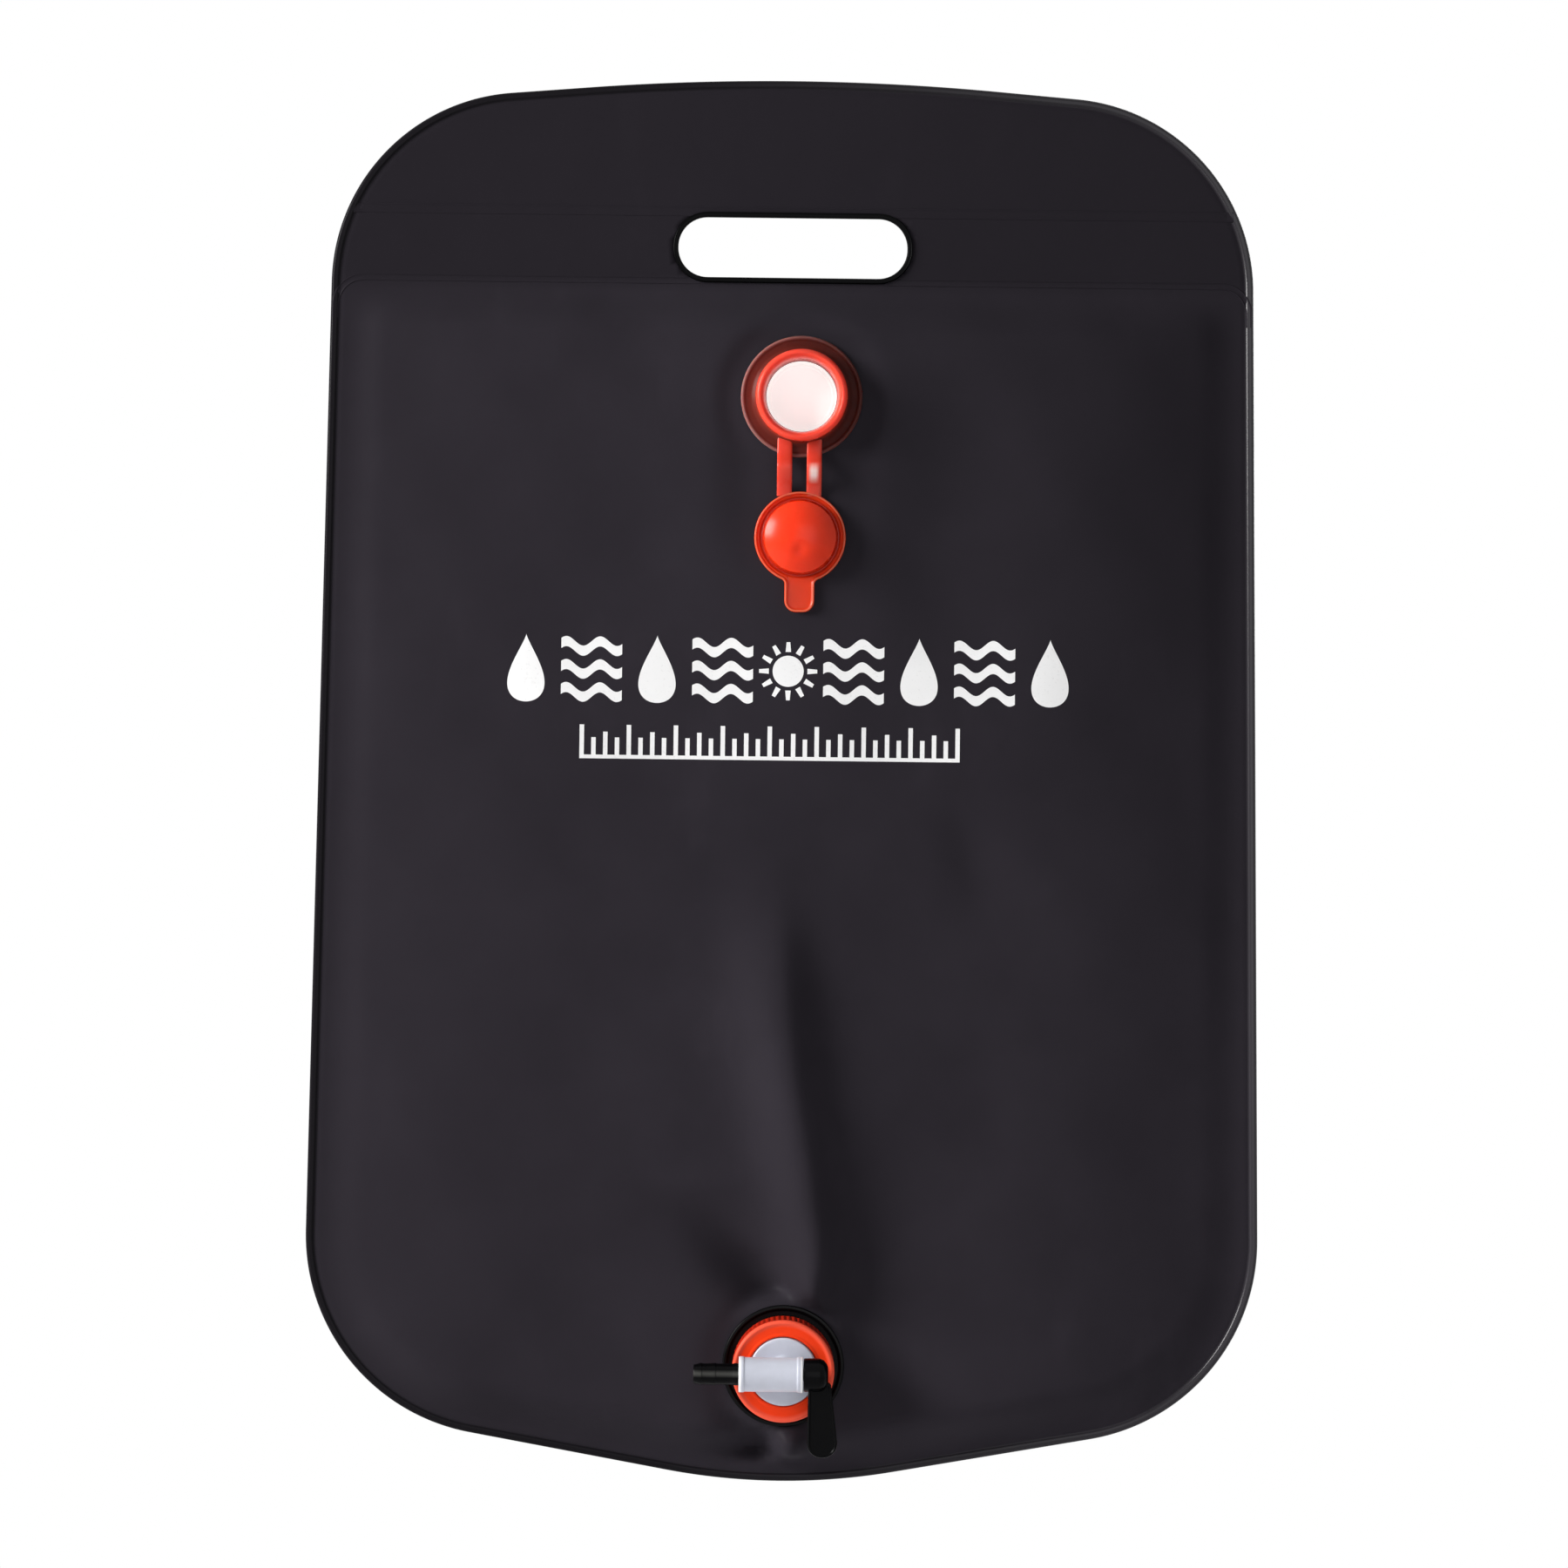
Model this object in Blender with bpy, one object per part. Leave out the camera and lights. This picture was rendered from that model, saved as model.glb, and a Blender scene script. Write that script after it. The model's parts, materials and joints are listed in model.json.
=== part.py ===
"""Camp shower bag: a welded film water bag with a hand slot, a filler with a tethered plug, and an outlet tap.

Metres, +Z up. The bag hangs upright. The origin is the middle of the hand slot's upper edge, in the bag's
middle plane. X is the width and the front of the bag faces -Y.
"""

import math

import bmesh
import bpy
from mathutils import Vector

# Clearances and film
fit_gap = 0.0003
film = 0.0005
overrun = 0.003
merge_distance = 0.00001
sliver_distance = 0.00006
sharp_angle = math.radians(35)

# Bag outline
bag_height = 0.600
head_above_slot = 0.0588
head_width = 0.3924
foot_width = 0.4112
head_slope = math.radians(4.7)
foot_slope = math.radians(10.1)
head_crown_radius = 1.06
foot_crown_radius = 0.276
head_corner_radius = 0.083
foot_corner_radius = 0.086
corner_steps = 10
side_parts = 8
foot_parts = 3

# Water chamber: how far it bulges on each side, and how far in from its weld it is flat
weld_width = 0.007
belly_depth = 0.012
belly_side_run = 0.049
belly_head_run = 0.017
belly_foot_run = 0.014
chamber_corner_radius = 0.011
flat_corner_radius = 0.030
flat_foot_radius = 0.045
belly_rise_shares = (0.12, 0.28, 0.50, 0.75)

# Hand slot and its rim
slot_width = 0.098
slot_height = 0.0256
slot_corner_radius = 0.011
rim_web = 0.0014
rim_width = 0.0024
rim_cheek = 0.0008
rim_chamfer = 0.0003
seam_clearance = 0.0006
slot_steps = 7

# Filler
filler_side = 0.0044
filler_below_seam = 0.0490
neck_radius = 0.0195
neck_wall = 0.004
neck_height = 0.012
neck_lip = 0.0015
neck_flange_width = 0.0065
neck_flange_thickness = 0.0012
round_steps = 48

# One-way flap inside the filler
seat_width = 0.0065
seat_thickness = 0.0012
flap_overlap = 0.0025
flap_thickness = 0.0010
hinge_strip_width = 0.016
hinge_strip_height = 0.0032

# Filler plug and its tether
tether_span = 0.0144
plug_rim_thickness = 0.0016
plug_length = 0.010
plug_taper = 0.0007
plug_dish_wall = 0.0027
plug_dish_depth = 0.003
tab_width = 0.0128
tab_length = 0.0124
tab_corner_radius = 0.0055
strap_width = 0.0064
strap_spacing = 0.0062
strap_thickness = 0.0014
strap_foot_length = 0.0032
strap_sides = 8

# Outlet on the film
outlet_side = 0.0013
outlet_rise = 0.0511
outlet_neck_radius = 0.016
outlet_neck_height = 0.0135
outlet_neck_wall = 0.004
outlet_flange_width = 0.010
outlet_flange_thickness = 0.0015
thread_clearance = 0.0004

# Gasket and screw collar
gasket_thickness = 0.0012
collar_wall = 0.00525
collar_lip_overlap = 0.0018
collar_lip_thickness = 0.002
collar_chamfer = 0.0012
collar_recess_depth = 0.0007
collar_land_width = 0.0045
collar_floor_gap = 0.0006

# Tap body
clamp_disc_thickness = 0.002
spigot_length = 0.005
boss_height = 0.0010
inlet_radius = 0.0042
pillar_inset = 0.0016
barrel_radius = 0.0075
barrel_wall = 0.0025
barrel_left = 0.0186
barrel_right = 0.0083
barrel_stand_off = 0.0014
tap_steps = 40

# Rotary core, its seals and the hose nipple
core_clearance = 0.0006
core_inset = 0.0095
core_passage_radius = 0.0024
core_stem_radius = 0.0025
core_stem_length = 0.0055
seal_width = 0.0012
seal_groove_depth = 0.0010
seal_radial_gap = 0.00015
seal_spacing = 0.0116
nipple_clearance = 0.00035
nipple_wall = 0.00165
nipple_length = 0.0190
nipple_insert = 0.0060
nipple_chamfer = 0.0006
core_steps = 32

# Lever
lever_hub_radius = 0.0070
lever_hub_length = 0.0103
lever_hub_chamfer = 0.0006
lever_thickness = 0.0040
lever_length = 0.0345
lever_root_width = 0.0094
lever_end_width = 0.0135
lever_root_offset = 0.0036
lever_root_drop = 0.0015
lever_end_lean = 0.0011
lever_end_radius = 0.0060

# Places worked out from the sizes above
head_z = head_above_slot
tip_z = head_above_slot - bag_height
seam_drop = slot_height + rim_width + seam_clearance
front_face = fit_gap / 2 + belly_depth + film
filler_drop = seam_drop + filler_below_seam
neck_bore_radius = neck_radius - neck_wall
neck_flange_radius = neck_radius + neck_flange_width
neck_top = fit_gap + neck_height
seat_radius = neck_bore_radius + seat_width
flap_radius = neck_bore_radius + flap_overlap
plug_rim_radius = neck_radius
plug_radius = neck_bore_radius - fit_gap
plug_dish_radius = plug_radius - plug_dish_wall
plug_base = fit_gap + plug_rim_thickness
plug_reach = neck_flange_radius + tether_span + plug_rim_radius
strap_offset = (strap_spacing + strap_width) / 2
tether_height = (neck_top + fit_gap + plug_base) / 2
outlet_drop = -tip_z - outlet_rise
outlet_bore_radius = outlet_neck_radius - outlet_neck_wall
outlet_flange_radius = outlet_neck_radius + outlet_flange_width
outlet_neck_top = fit_gap + outlet_neck_height
gasket_base = outlet_neck_top + fit_gap
disc_base = gasket_base + gasket_thickness + fit_gap
disc_top = disc_base + clamp_disc_thickness
collar_lip_base = disc_top + fit_gap
collar_top = collar_lip_base + collar_lip_thickness
collar_floor = fit_gap + outlet_flange_thickness + collar_floor_gap
collar_bore_radius = outlet_neck_radius + thread_clearance
collar_radius = collar_bore_radius + collar_wall
collar_lip_radius = collar_bore_radius - collar_lip_overlap
boss_radius = collar_lip_radius - fit_gap
barrel_height = collar_top + barrel_stand_off + barrel_radius
barrel_bore_radius = barrel_radius - barrel_wall
pillar_radius = barrel_radius - pillar_inset
core_radius = barrel_bore_radius - core_clearance
nipple_radius = barrel_bore_radius - nipple_clearance
nipple_bore_radius = nipple_radius - nipple_wall


def clear_scene():
    for obj in list(bpy.data.objects):
        bpy.data.objects.remove(obj, do_unlink=True)


def material(name, color, roughness):
    """A plain moulded or calendered plastic in one colour."""
    finish = bpy.data.materials.new(name)
    finish.use_nodes = True
    shader = finish.node_tree.nodes["Principled BSDF"]
    shader.inputs["Base Color"].default_value = (*color, 1)
    shader.inputs["Roughness"].default_value = roughness
    shader.inputs["Metallic"].default_value = 0
    return finish


def empty(name, location, parent=None):
    pivot = bpy.data.objects.new(name, None)
    bpy.context.collection.objects.link(pivot)
    pivot.location = location
    pivot.parent = parent
    return pivot


def as_object(name, bm, finish, parent=None, location=(0, 0, 0)):
    """Turn the bmesh into a smooth-shaded object with its sharp edges kept."""
    mesh = bpy.data.meshes.new(name)
    bm.to_mesh(mesh)
    bm.free()
    mesh.materials.append(finish)
    mesh.shade_smooth()
    mesh.set_sharp_from_angle(angle=sharp_angle)
    obj = bpy.data.objects.new(name, mesh)
    bpy.context.collection.objects.link(obj)
    obj.location = location
    obj.parent = parent
    return obj


def combine(target, tool, operation):
    """Add the tool to the target, or cut it away, and leave the tool out of the part."""
    change = target.modifiers.new(operation.title(), "BOOLEAN")
    change.operation = operation
    change.solver = "EXACT"
    change.object = tool
    tool.hide_render = True
    tool.display_type = "WIRE"


def weld_slivers(obj):
    """Merge the crowded points that a cut leaves along a curved seam."""
    weld = obj.modifiers.new("Weld", "WELD")
    weld.merge_threshold = sliver_distance


def turned(name, profile, steps, finish, parent=None, location=(0, 0, 0), along="Y"):
    """Turn a profile of (radius, height) points about an axis; height runs to -Y or to +X.

    A profile that starts and ends at radius 0 is a solid one. Any other is closed and gives a ring.
    """
    bm = bmesh.new()
    if along == "Y":
        corners = [bm.verts.new((radius, -height, 0)) for radius, height in profile]
        axis = Vector((0, 1, 0))
    else:
        corners = [bm.verts.new((height, 0, radius)) for radius, height in profile]
        axis = Vector((1, 0, 0))
    sides = [bm.edges.new(pair) for pair in zip(corners, corners[1:])]
    if profile[0][0] > 0:
        sides.append(bm.edges.new((corners[-1], corners[0])))
    bmesh.ops.spin(
        bm, geom=corners + sides, cent=(0, 0, 0), axis=axis, angle=math.tau, steps=steps, use_merge=True
    )
    bmesh.ops.remove_doubles(bm, verts=bm.verts, dist=merge_distance)
    bmesh.ops.recalc_face_normals(bm, faces=bm.faces)
    return as_object(name, bm, finish, parent, location)


def rounded(corners, radii, steps, splits):
    """Round a polygon's corners with arcs and split its straight sides.

    corners are (x, z) points in order. splits gives the number of parts of the side after each corner.
    """
    points = [Vector(corner) for corner in corners]
    count = len(points)
    arcs = []
    for index, corner in enumerate(points):
        back = (points[index - 1] - corner).normalized()
        ahead = (points[(index + 1) % count] - corner).normalized()
        opening = back.angle(ahead)
        reach = radii[index] / math.tan(opening / 2)
        centre = corner + (back + ahead).normalized() * (radii[index] / math.sin(opening / 2))
        start = corner + back * reach - centre
        turn = (corner + ahead * reach - centre).angle_signed(start)
        arc = []
        for step in range(steps + 1):
            angle = turn * step / steps
            cosine = math.cos(angle)
            sine = math.sin(angle)
            arc.append(centre + Vector((start.x * cosine - start.y * sine, start.x * sine + start.y * cosine)))
        arcs.append(arc)
    outline = []
    for index, arc in enumerate(arcs):
        outline += arc
        following = arcs[(index + 1) % count][0]
        for split in range(1, splits[index]):
            outline.append(arc[-1].lerp(following, split / splits[index]))
    return outline


def side_x(z, inset):
    """The right side's x at a height, moved in by the inset; the bag is a little wider at its foot."""
    flare = (foot_width - head_width) / 2 / bag_height
    return head_width / 2 + flare * (head_z - z) - inset * math.hypot(1, flare)


def meet_side(z_at_middle, slope, inset):
    """Where the side meets an edge that passes the middle at a height and rises outwards by a slope."""
    flare = (foot_width - head_width) / 2 / bag_height
    x = side_x(z_at_middle, inset) / (1 + flare * slope)
    return x, z_at_middle + slope * x


def foot_middle(inset):
    """The height at which the two straight foot edges would meet, moved in by the inset."""
    apex = tip_z - foot_crown_radius * (1 / math.cos(foot_slope) - 1)
    return apex + inset / math.cos(foot_slope)


def crown_radius(wanted, x, slope, corner_radius):
    """The radius of a low crown, kept within the straight edge that runs to the corner at x."""
    edge = x / math.cos(slope)
    corner_reach = corner_radius * math.tan((math.pi / 2 - slope) / 2)
    return min(wanted, (edge - corner_reach) / math.tan(slope))


def bag_outline():
    """The whole film's outline: a low crown, round shoulders, straight sides and a shallow V foot."""
    apex = head_z + head_crown_radius * (1 / math.cos(head_slope) - 1)
    shoulder = meet_side(apex, -math.tan(head_slope), 0)
    hip = meet_side(foot_middle(0), math.tan(foot_slope), 0)
    corners = [
        (0, apex),
        shoulder,
        hip,
        (0, foot_middle(0)),
        (-hip[0], hip[1]),
        (-shoulder[0], shoulder[1]),
    ]
    radii = (
        crown_radius(head_crown_radius, shoulder[0], head_slope, head_corner_radius),
        head_corner_radius,
        foot_corner_radius,
        crown_radius(foot_crown_radius, hip[0], foot_slope, foot_corner_radius),
        foot_corner_radius,
        head_corner_radius,
    )
    return rounded(corners, radii, corner_steps, (1, 1, 1, 1, 1, 1))


def chamber_loop(head_inset, side_inset, foot_inset, head_radius, foot_radius):
    """A closed loop below the slot's seam, set in from the film's sides and foot."""
    top = -seam_drop - head_inset
    hip = meet_side(foot_middle(foot_inset), math.tan(foot_slope), side_inset)
    corners = [
        (side_x(top, side_inset), top),
        hip,
        (0, foot_middle(foot_inset)),
        (-hip[0], hip[1]),
        (-side_x(top, side_inset), top),
    ]
    crown = crown_radius(foot_crown_radius - foot_inset, hip[0], foot_slope, foot_radius)
    radii = (head_radius, foot_radius, crown, foot_radius, head_radius)
    parts = (side_parts, foot_parts, foot_parts, side_parts, side_parts)
    return rounded(corners, radii, corner_steps, parts)


def slot_loop(offset):
    """The hand slot's outline, moved out by an offset, with its upper edge through the origin."""
    half = slot_width / 2 + offset
    corners = [(half, offset), (half, -slot_height - offset), (-half, -slot_height - offset), (-half, offset)]
    return rounded(corners, (slot_corner_radius + offset,) * 4, slot_steps, (1, 1, 1, 1))


def circle_loop(x, z, radius, steps):
    """A circle of points in the film's plane."""
    angles = [math.tau * step / steps for step in range(steps)]
    return [Vector((x + radius * math.cos(angle), z + radius * math.sin(angle))) for angle in angles]


def add_loop(bm, points, y):
    """Put a closed loop of (x, z) points into the mesh at one depth."""
    verts = [bm.verts.new((point.x, y, point.y)) for point in points]
    edges = [bm.edges.new(pair) for pair in zip(verts, verts[1:] + verts[:1])]
    return verts, edges


def panel(name, side, holes, finish):
    """One film of the bag: a flat margin with the hand slot, a bulging flank and a flat belly.

    side is -1 for the front and 1 for the back. holes are loops cut in the flat belly.
    """
    bm = bmesh.new()
    weld_y = side * fit_gap / 2
    belly_y = side * (fit_gap / 2 + belly_depth)
    weld = chamber_loop(0, weld_width, weld_width, chamber_corner_radius, foot_corner_radius - weld_width)
    flat = chamber_loop(
        belly_head_run,
        weld_width + belly_side_run,
        weld_width + belly_foot_run,
        flat_corner_radius,
        flat_foot_radius,
    )
    outline_verts, outline_edges = add_loop(bm, bag_outline(), weld_y)
    slot_verts, slot_edges = add_loop(bm, slot_loop(rim_web + fit_gap), weld_y)
    rings = [add_loop(bm, weld, weld_y)]
    for share in belly_rise_shares:
        rise = belly_depth * (1 - (1 - share) ** 2)
        ring = [outer.lerp(inner, share) for outer, inner in zip(weld, flat)]
        rings.append(add_loop(bm, ring, weld_y + side * rise))
    rings.append(add_loop(bm, flat, belly_y))
    margin = outline_edges + slot_edges + rings[0][1]
    bmesh.ops.triangle_fill(bm, edges=margin, use_beauty=True, normal=(0, side, 0))
    for (outer, _), (inner, _) in zip(rings, rings[1:]):
        for a, b, c, d in zip(outer, outer[1:] + outer[:1], inner[1:] + inner[:1], inner):
            bm.faces.new((a, b, c, d))
    belly = list(rings[-1][1])
    for hole in holes:
        belly += add_loop(bm, hole, belly_y)[1]
    bmesh.ops.triangle_fill(bm, edges=belly, use_beauty=True, normal=(0, side, 0))
    bmesh.ops.recalc_face_normals(bm, faces=bm.faces)
    facing = sum(face.normal.y * face.calc_area() for face in bm.faces) * side
    if facing < 0:
        bmesh.ops.reverse_faces(bm, faces=bm.faces)
    sheet = as_object(name, bm, finish)
    wall = sheet.modifiers.new("Film", "SOLIDIFY")
    wall.thickness = film
    wall.offset = 1
    wall.use_even_offset = True
    return sheet


def make_films(finish):
    neck_hole = circle_loop(filler_side, -filler_drop, neck_bore_radius + fit_gap, round_steps)
    outlet_hole = circle_loop(outlet_side, -outlet_drop, outlet_bore_radius + fit_gap, round_steps)
    panel("front_panel", -1, [neck_hole, outlet_hole], finish)
    panel("back_panel", 1, [], finish)


def make_handle_rim(finish):
    """A C-shaped moulding round the slot, whose two cheeks hold both films."""
    inner_y = fit_gap / 2 + film + fit_gap
    outer_y = inner_y + rim_cheek
    section = [
        (rim_chamfer, -outer_y),
        (0, -outer_y + rim_chamfer),
        (0, outer_y - rim_chamfer),
        (rim_chamfer, outer_y),
        (rim_width - rim_chamfer, outer_y),
        (rim_width, outer_y - rim_chamfer),
        (rim_width, inner_y),
        (rim_web, inner_y),
        (rim_web, -inner_y),
        (rim_width, -inner_y),
        (rim_width, -outer_y + rim_chamfer),
        (rim_width - rim_chamfer, -outer_y),
    ]
    bm = bmesh.new()
    loops = [add_loop(bm, slot_loop(offset), y) for offset, y in section]
    for (outer, _), (inner, _) in zip(loops, loops[1:] + loops[:1]):
        for a, b, c, d in zip(outer, outer[1:] + outer[:1], inner[1:] + inner[:1], inner):
            bm.faces.new((a, b, c, d))
    bmesh.ops.recalc_face_normals(bm, faces=bm.faces)
    as_object("handle_rim", bm, finish)


def prism(name, outline, low, high, finish, parent=None, location=(0, 0, 0), along="Y"):
    """Extrude a closed outline of (u, v) points between two depths, along Y or along X."""
    bm = bmesh.new()
    if along == "Y":
        base = [bm.verts.new((u, low, v)) for u, v in outline]
        sweep = Vector((0, high - low, 0))
    else:
        base = [bm.verts.new((low, u, v)) for u, v in outline]
        sweep = Vector((high - low, 0, 0))
    face = bm.faces.new(base)
    grown = bmesh.ops.extrude_face_region(bm, geom=[face])
    moved = [item for item in grown["geom"] if isinstance(item, bmesh.types.BMVert)]
    bmesh.ops.translate(bm, vec=sweep, verts=moved)
    bmesh.ops.recalc_face_normals(bm, faces=bm.faces)
    return as_object(name, bm, finish, parent, location)


def make_filler(frame, finish):
    """The neck: a thin flange on the film, a short tube and a rounded lip."""
    foot = fit_gap
    flange_top = fit_gap + neck_flange_thickness
    profile = [
        (neck_bore_radius, foot),
        (neck_flange_radius, foot),
        (neck_flange_radius, foot + neck_flange_thickness / 2),
        (neck_flange_radius - neck_flange_thickness / 2, flange_top),
        (neck_radius, flange_top),
        (neck_radius, neck_top - neck_lip),
        (neck_radius - neck_lip / 2, neck_top),
        (neck_bore_radius + neck_lip / 2, neck_top),
        (neck_bore_radius, neck_top - neck_lip),
    ]
    turned("filler_neck", profile, round_steps, finish, frame)


def make_valve(frame, finish):
    """The one-way flap: a seat ring behind the film, the flap on it and the strip that holds its top."""
    seat_front = -(film + fit_gap)
    seat_back = seat_front - seat_thickness
    flap_front = seat_back - fit_gap
    flap_back = flap_front - flap_thickness
    seat = [
        (neck_bore_radius, seat_front),
        (seat_radius, seat_front),
        (seat_radius, seat_back),
        (neck_bore_radius, seat_back),
    ]
    turned("valve_seat", seat, round_steps, finish, frame)
    flap_top = (neck_bore_radius + flap_radius) / 2
    half_chord = math.sqrt(flap_radius**2 - flap_top**2)
    pivot = empty("flap_pivot", (0, -(flap_front + flap_back) / 2, flap_top), frame)
    start = math.atan2(flap_top, half_chord)
    sweep = math.pi + 2 * start
    outline = []
    for step in range(round_steps + 1):
        angle = start - sweep * step / round_steps
        outline.append((flap_radius * math.cos(angle), flap_radius * math.sin(angle) - flap_top))
    prism("check_flap", outline, -flap_thickness / 2, flap_thickness / 2, finish, pivot)
    strip_low = flap_top + fit_gap
    strip = [
        (-hinge_strip_width / 2, strip_low),
        (hinge_strip_width / 2, strip_low),
        (hinge_strip_width / 2, strip_low + hinge_strip_height),
        (-hinge_strip_width / 2, strip_low + hinge_strip_height),
    ]
    prism("flap_hinge_strip", strip, -flap_front, -flap_back, finish, frame)


def ribbon(name, path, side, finish, parent, location, knuckle):
    """A flat strap that follows a path of (depth, height) points, with a round end where it bends."""
    points = [Vector(point) for point in path]
    half = strap_thickness / 2
    left = []
    right = []
    for index, point in enumerate(points):
        before = point - points[index - 1] if index else points[1] - point
        after = points[index + 1] - point if index + 1 < len(points) else before
        along = (before.normalized() + after.normalized()).normalized()
        across = Vector((-along.y, along.x))
        spread = half / max(across.dot(Vector((-after.y, after.x)).normalized()), half / strap_width)
        left.append(point + across * spread)
        right.append(point - across * spread)
    outline = left
    if knuckle:
        along = (points[-1] - points[-2]).normalized()
        across = Vector((-along.y, along.x))
        for step in range(1, strap_sides):
            angle = math.pi * step / strap_sides
            outline.append(points[-1] + (across * math.cos(angle) + along * math.sin(angle)) * half)
    outline += reversed(right)
    low = side * strap_offset - strap_width / 2
    return prism(name, outline, low, low + strap_width, finish, parent, location, along="X")


def make_plug(frame, finish):
    """The stopper, its pull tab and its two tether straps, which bend halfway between neck and plug."""
    pivot = empty("plug_pivot", (0, -tether_height, -plug_reach / 2), frame)
    base = tether_height - plug_base
    rim_back = tether_height - fit_gap
    centre = (0, 0, -plug_reach / 2)
    end = base - plug_length
    profile = [
        (0, -rim_back + plug_dish_depth),
        (plug_dish_radius, -rim_back + plug_dish_depth),
        (plug_dish_radius, -rim_back),
        (plug_rim_radius - plug_rim_thickness / 4, -rim_back),
        (plug_rim_radius, -rim_back + plug_rim_thickness / 2),
        (plug_rim_radius - plug_rim_thickness / 4, -base),
        (plug_radius, -base),
        (plug_radius - plug_taper, -end - 2 * plug_taper),
        (plug_radius - 3 * plug_taper, -end),
        (0, -end),
    ]
    plug = turned("filler_plug", profile, round_steps, finish, pivot, centre)
    half = tab_width / 2
    tab_root = -(plug_rim_radius - plug_rim_thickness)
    tab_end = -(plug_rim_radius + tab_length)
    corners = [(half, tab_root), (half, tab_end), (-half, tab_end), (-half, tab_root)]
    fillets = (plug_rim_thickness / 4, tab_corner_radius, tab_corner_radius, plug_rim_thickness / 4)
    outline = [(point.x, point.y) for point in rounded(corners, fillets, strap_sides, (1, 1, 1, 1))]
    inset = plug_rim_thickness / 8
    tab = prism("tab_tool", outline, base + inset, rim_back - inset, finish, pivot, centre)
    combine(plug, tab, "UNION")
    weld_slivers(plug)

    flange_edge = plug_reach / 2 - neck_flange_radius
    foot_depth = tether_height - (fit_gap + neck_flange_thickness + fit_gap + strap_thickness / 2)
    foot_height = flange_edge + strap_thickness
    neck_path = [
        (foot_depth, foot_height + strap_foot_length),
        (foot_depth, foot_height),
        (0, 0),
    ]
    rim_edge = math.sqrt((plug_rim_radius + fit_gap) ** 2 - (strap_offset - strap_width / 2) ** 2)
    rim_depth = (base + rim_back) / 2
    run = plug_reach / 2 - rim_edge
    knuckle_share = strap_thickness / math.hypot(run, rim_depth)
    plug_path = [
        (rim_depth * knuckle_share, -run * knuckle_share),
        (rim_depth, -run),
    ]
    for side, word in ((-1, "left"), (1, "right")):
        ribbon(f"neck_strap_{word}", neck_path, side, finish, frame, pivot.location, knuckle=True)
        ribbon(f"plug_strap_{word}", plug_path, side, finish, pivot, (0, 0, 0), knuckle=False)


def make_outlet(frame, finish):
    """The weld flange and neck that the tap is screwed to."""
    foot = fit_gap
    flange_top = foot + outlet_flange_thickness
    profile = [
        (outlet_bore_radius, foot),
        (outlet_flange_radius, foot),
        (outlet_flange_radius, foot + outlet_flange_thickness / 2),
        (outlet_flange_radius - outlet_flange_thickness / 2, flange_top),
        (outlet_neck_radius, flange_top),
        (outlet_neck_radius, outlet_neck_top),
        (outlet_bore_radius, outlet_neck_top),
    ]
    turned("outlet_flange", profile, round_steps, finish, frame)


def make_collar(frame, finish):
    """The screw collar: a skirt round the neck and a lip that clamps the tap's disc."""
    land_inner = collar_radius - collar_chamfer - collar_land_width
    profile = [
        (collar_bore_radius, collar_floor),
        (collar_radius, collar_floor),
        (collar_radius, collar_top - collar_chamfer),
        (collar_radius - collar_chamfer, collar_top),
        (land_inner + collar_recess_depth, collar_top),
        (land_inner, collar_top - collar_recess_depth),
        (collar_lip_radius, collar_top - collar_recess_depth),
        (collar_lip_radius, collar_lip_base),
        (collar_bore_radius, collar_lip_base),
    ]
    turned("outlet_collar", profile, round_steps, finish, frame)


def make_tap_body(frame, gasket_finish, finish):
    """The tap moulding: spigot, clamped disc, boss and a barrel across its end, bored for the water."""
    gasket = [
        (outlet_bore_radius, gasket_base),
        (outlet_neck_radius - fit_gap, gasket_base),
        (outlet_neck_radius - fit_gap, gasket_base + gasket_thickness),
        (outlet_bore_radius, gasket_base + gasket_thickness),
    ]
    turned("outlet_gasket", gasket, round_steps, gasket_finish, frame)
    spigot_radius = outlet_bore_radius - fit_gap
    profile = [
        (0, disc_base - spigot_length),
        (spigot_radius, disc_base - spigot_length),
        (spigot_radius, disc_base),
        (outlet_neck_radius - fit_gap, disc_base),
        (outlet_neck_radius - fit_gap, disc_top),
        (boss_radius, disc_top),
        (boss_radius, collar_top + boss_height),
        (pillar_radius, collar_top + boss_height),
        (pillar_radius, barrel_height),
        (0, barrel_height),
    ]
    body = turned("tap_body", profile, round_steps, finish, frame)
    axis = (0, -barrel_height, 0)
    solid = [(0, -barrel_left), (barrel_radius, -barrel_left), (barrel_radius, barrel_right), (0, barrel_right)]
    barrel = turned("barrel_tool", solid, tap_steps, finish, frame, axis, along="X")
    combine(body, barrel, "UNION")
    start = disc_base - spigot_length - overrun
    inlet = [(0, start), (inlet_radius, start), (inlet_radius, barrel_height), (0, barrel_height)]
    combine(body, turned("inlet_tool", inlet, core_steps, finish, frame), "DIFFERENCE")
    low = -barrel_left - overrun
    high = barrel_right + overrun
    bore = [(0, low), (barrel_bore_radius, low), (barrel_bore_radius, high), (0, high)]
    combine(body, turned("bore_tool", bore, tap_steps, finish, frame, axis, along="X"), "DIFFERENCE")
    weld_slivers(body)


def make_nipple(frame, finish):
    """The tube on the barrel's left end that the shower hose pushes onto."""
    start = -barrel_left - nipple_length
    end = -barrel_left + nipple_insert
    profile = [
        (nipple_bore_radius, start),
        (nipple_radius - nipple_chamfer, start),
        (nipple_radius, start + nipple_chamfer),
        (nipple_radius, end),
        (nipple_bore_radius, end),
    ]
    turned("hose_nipple", profile, core_steps, finish, frame, (0, -barrel_height, 0), along="X")


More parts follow.
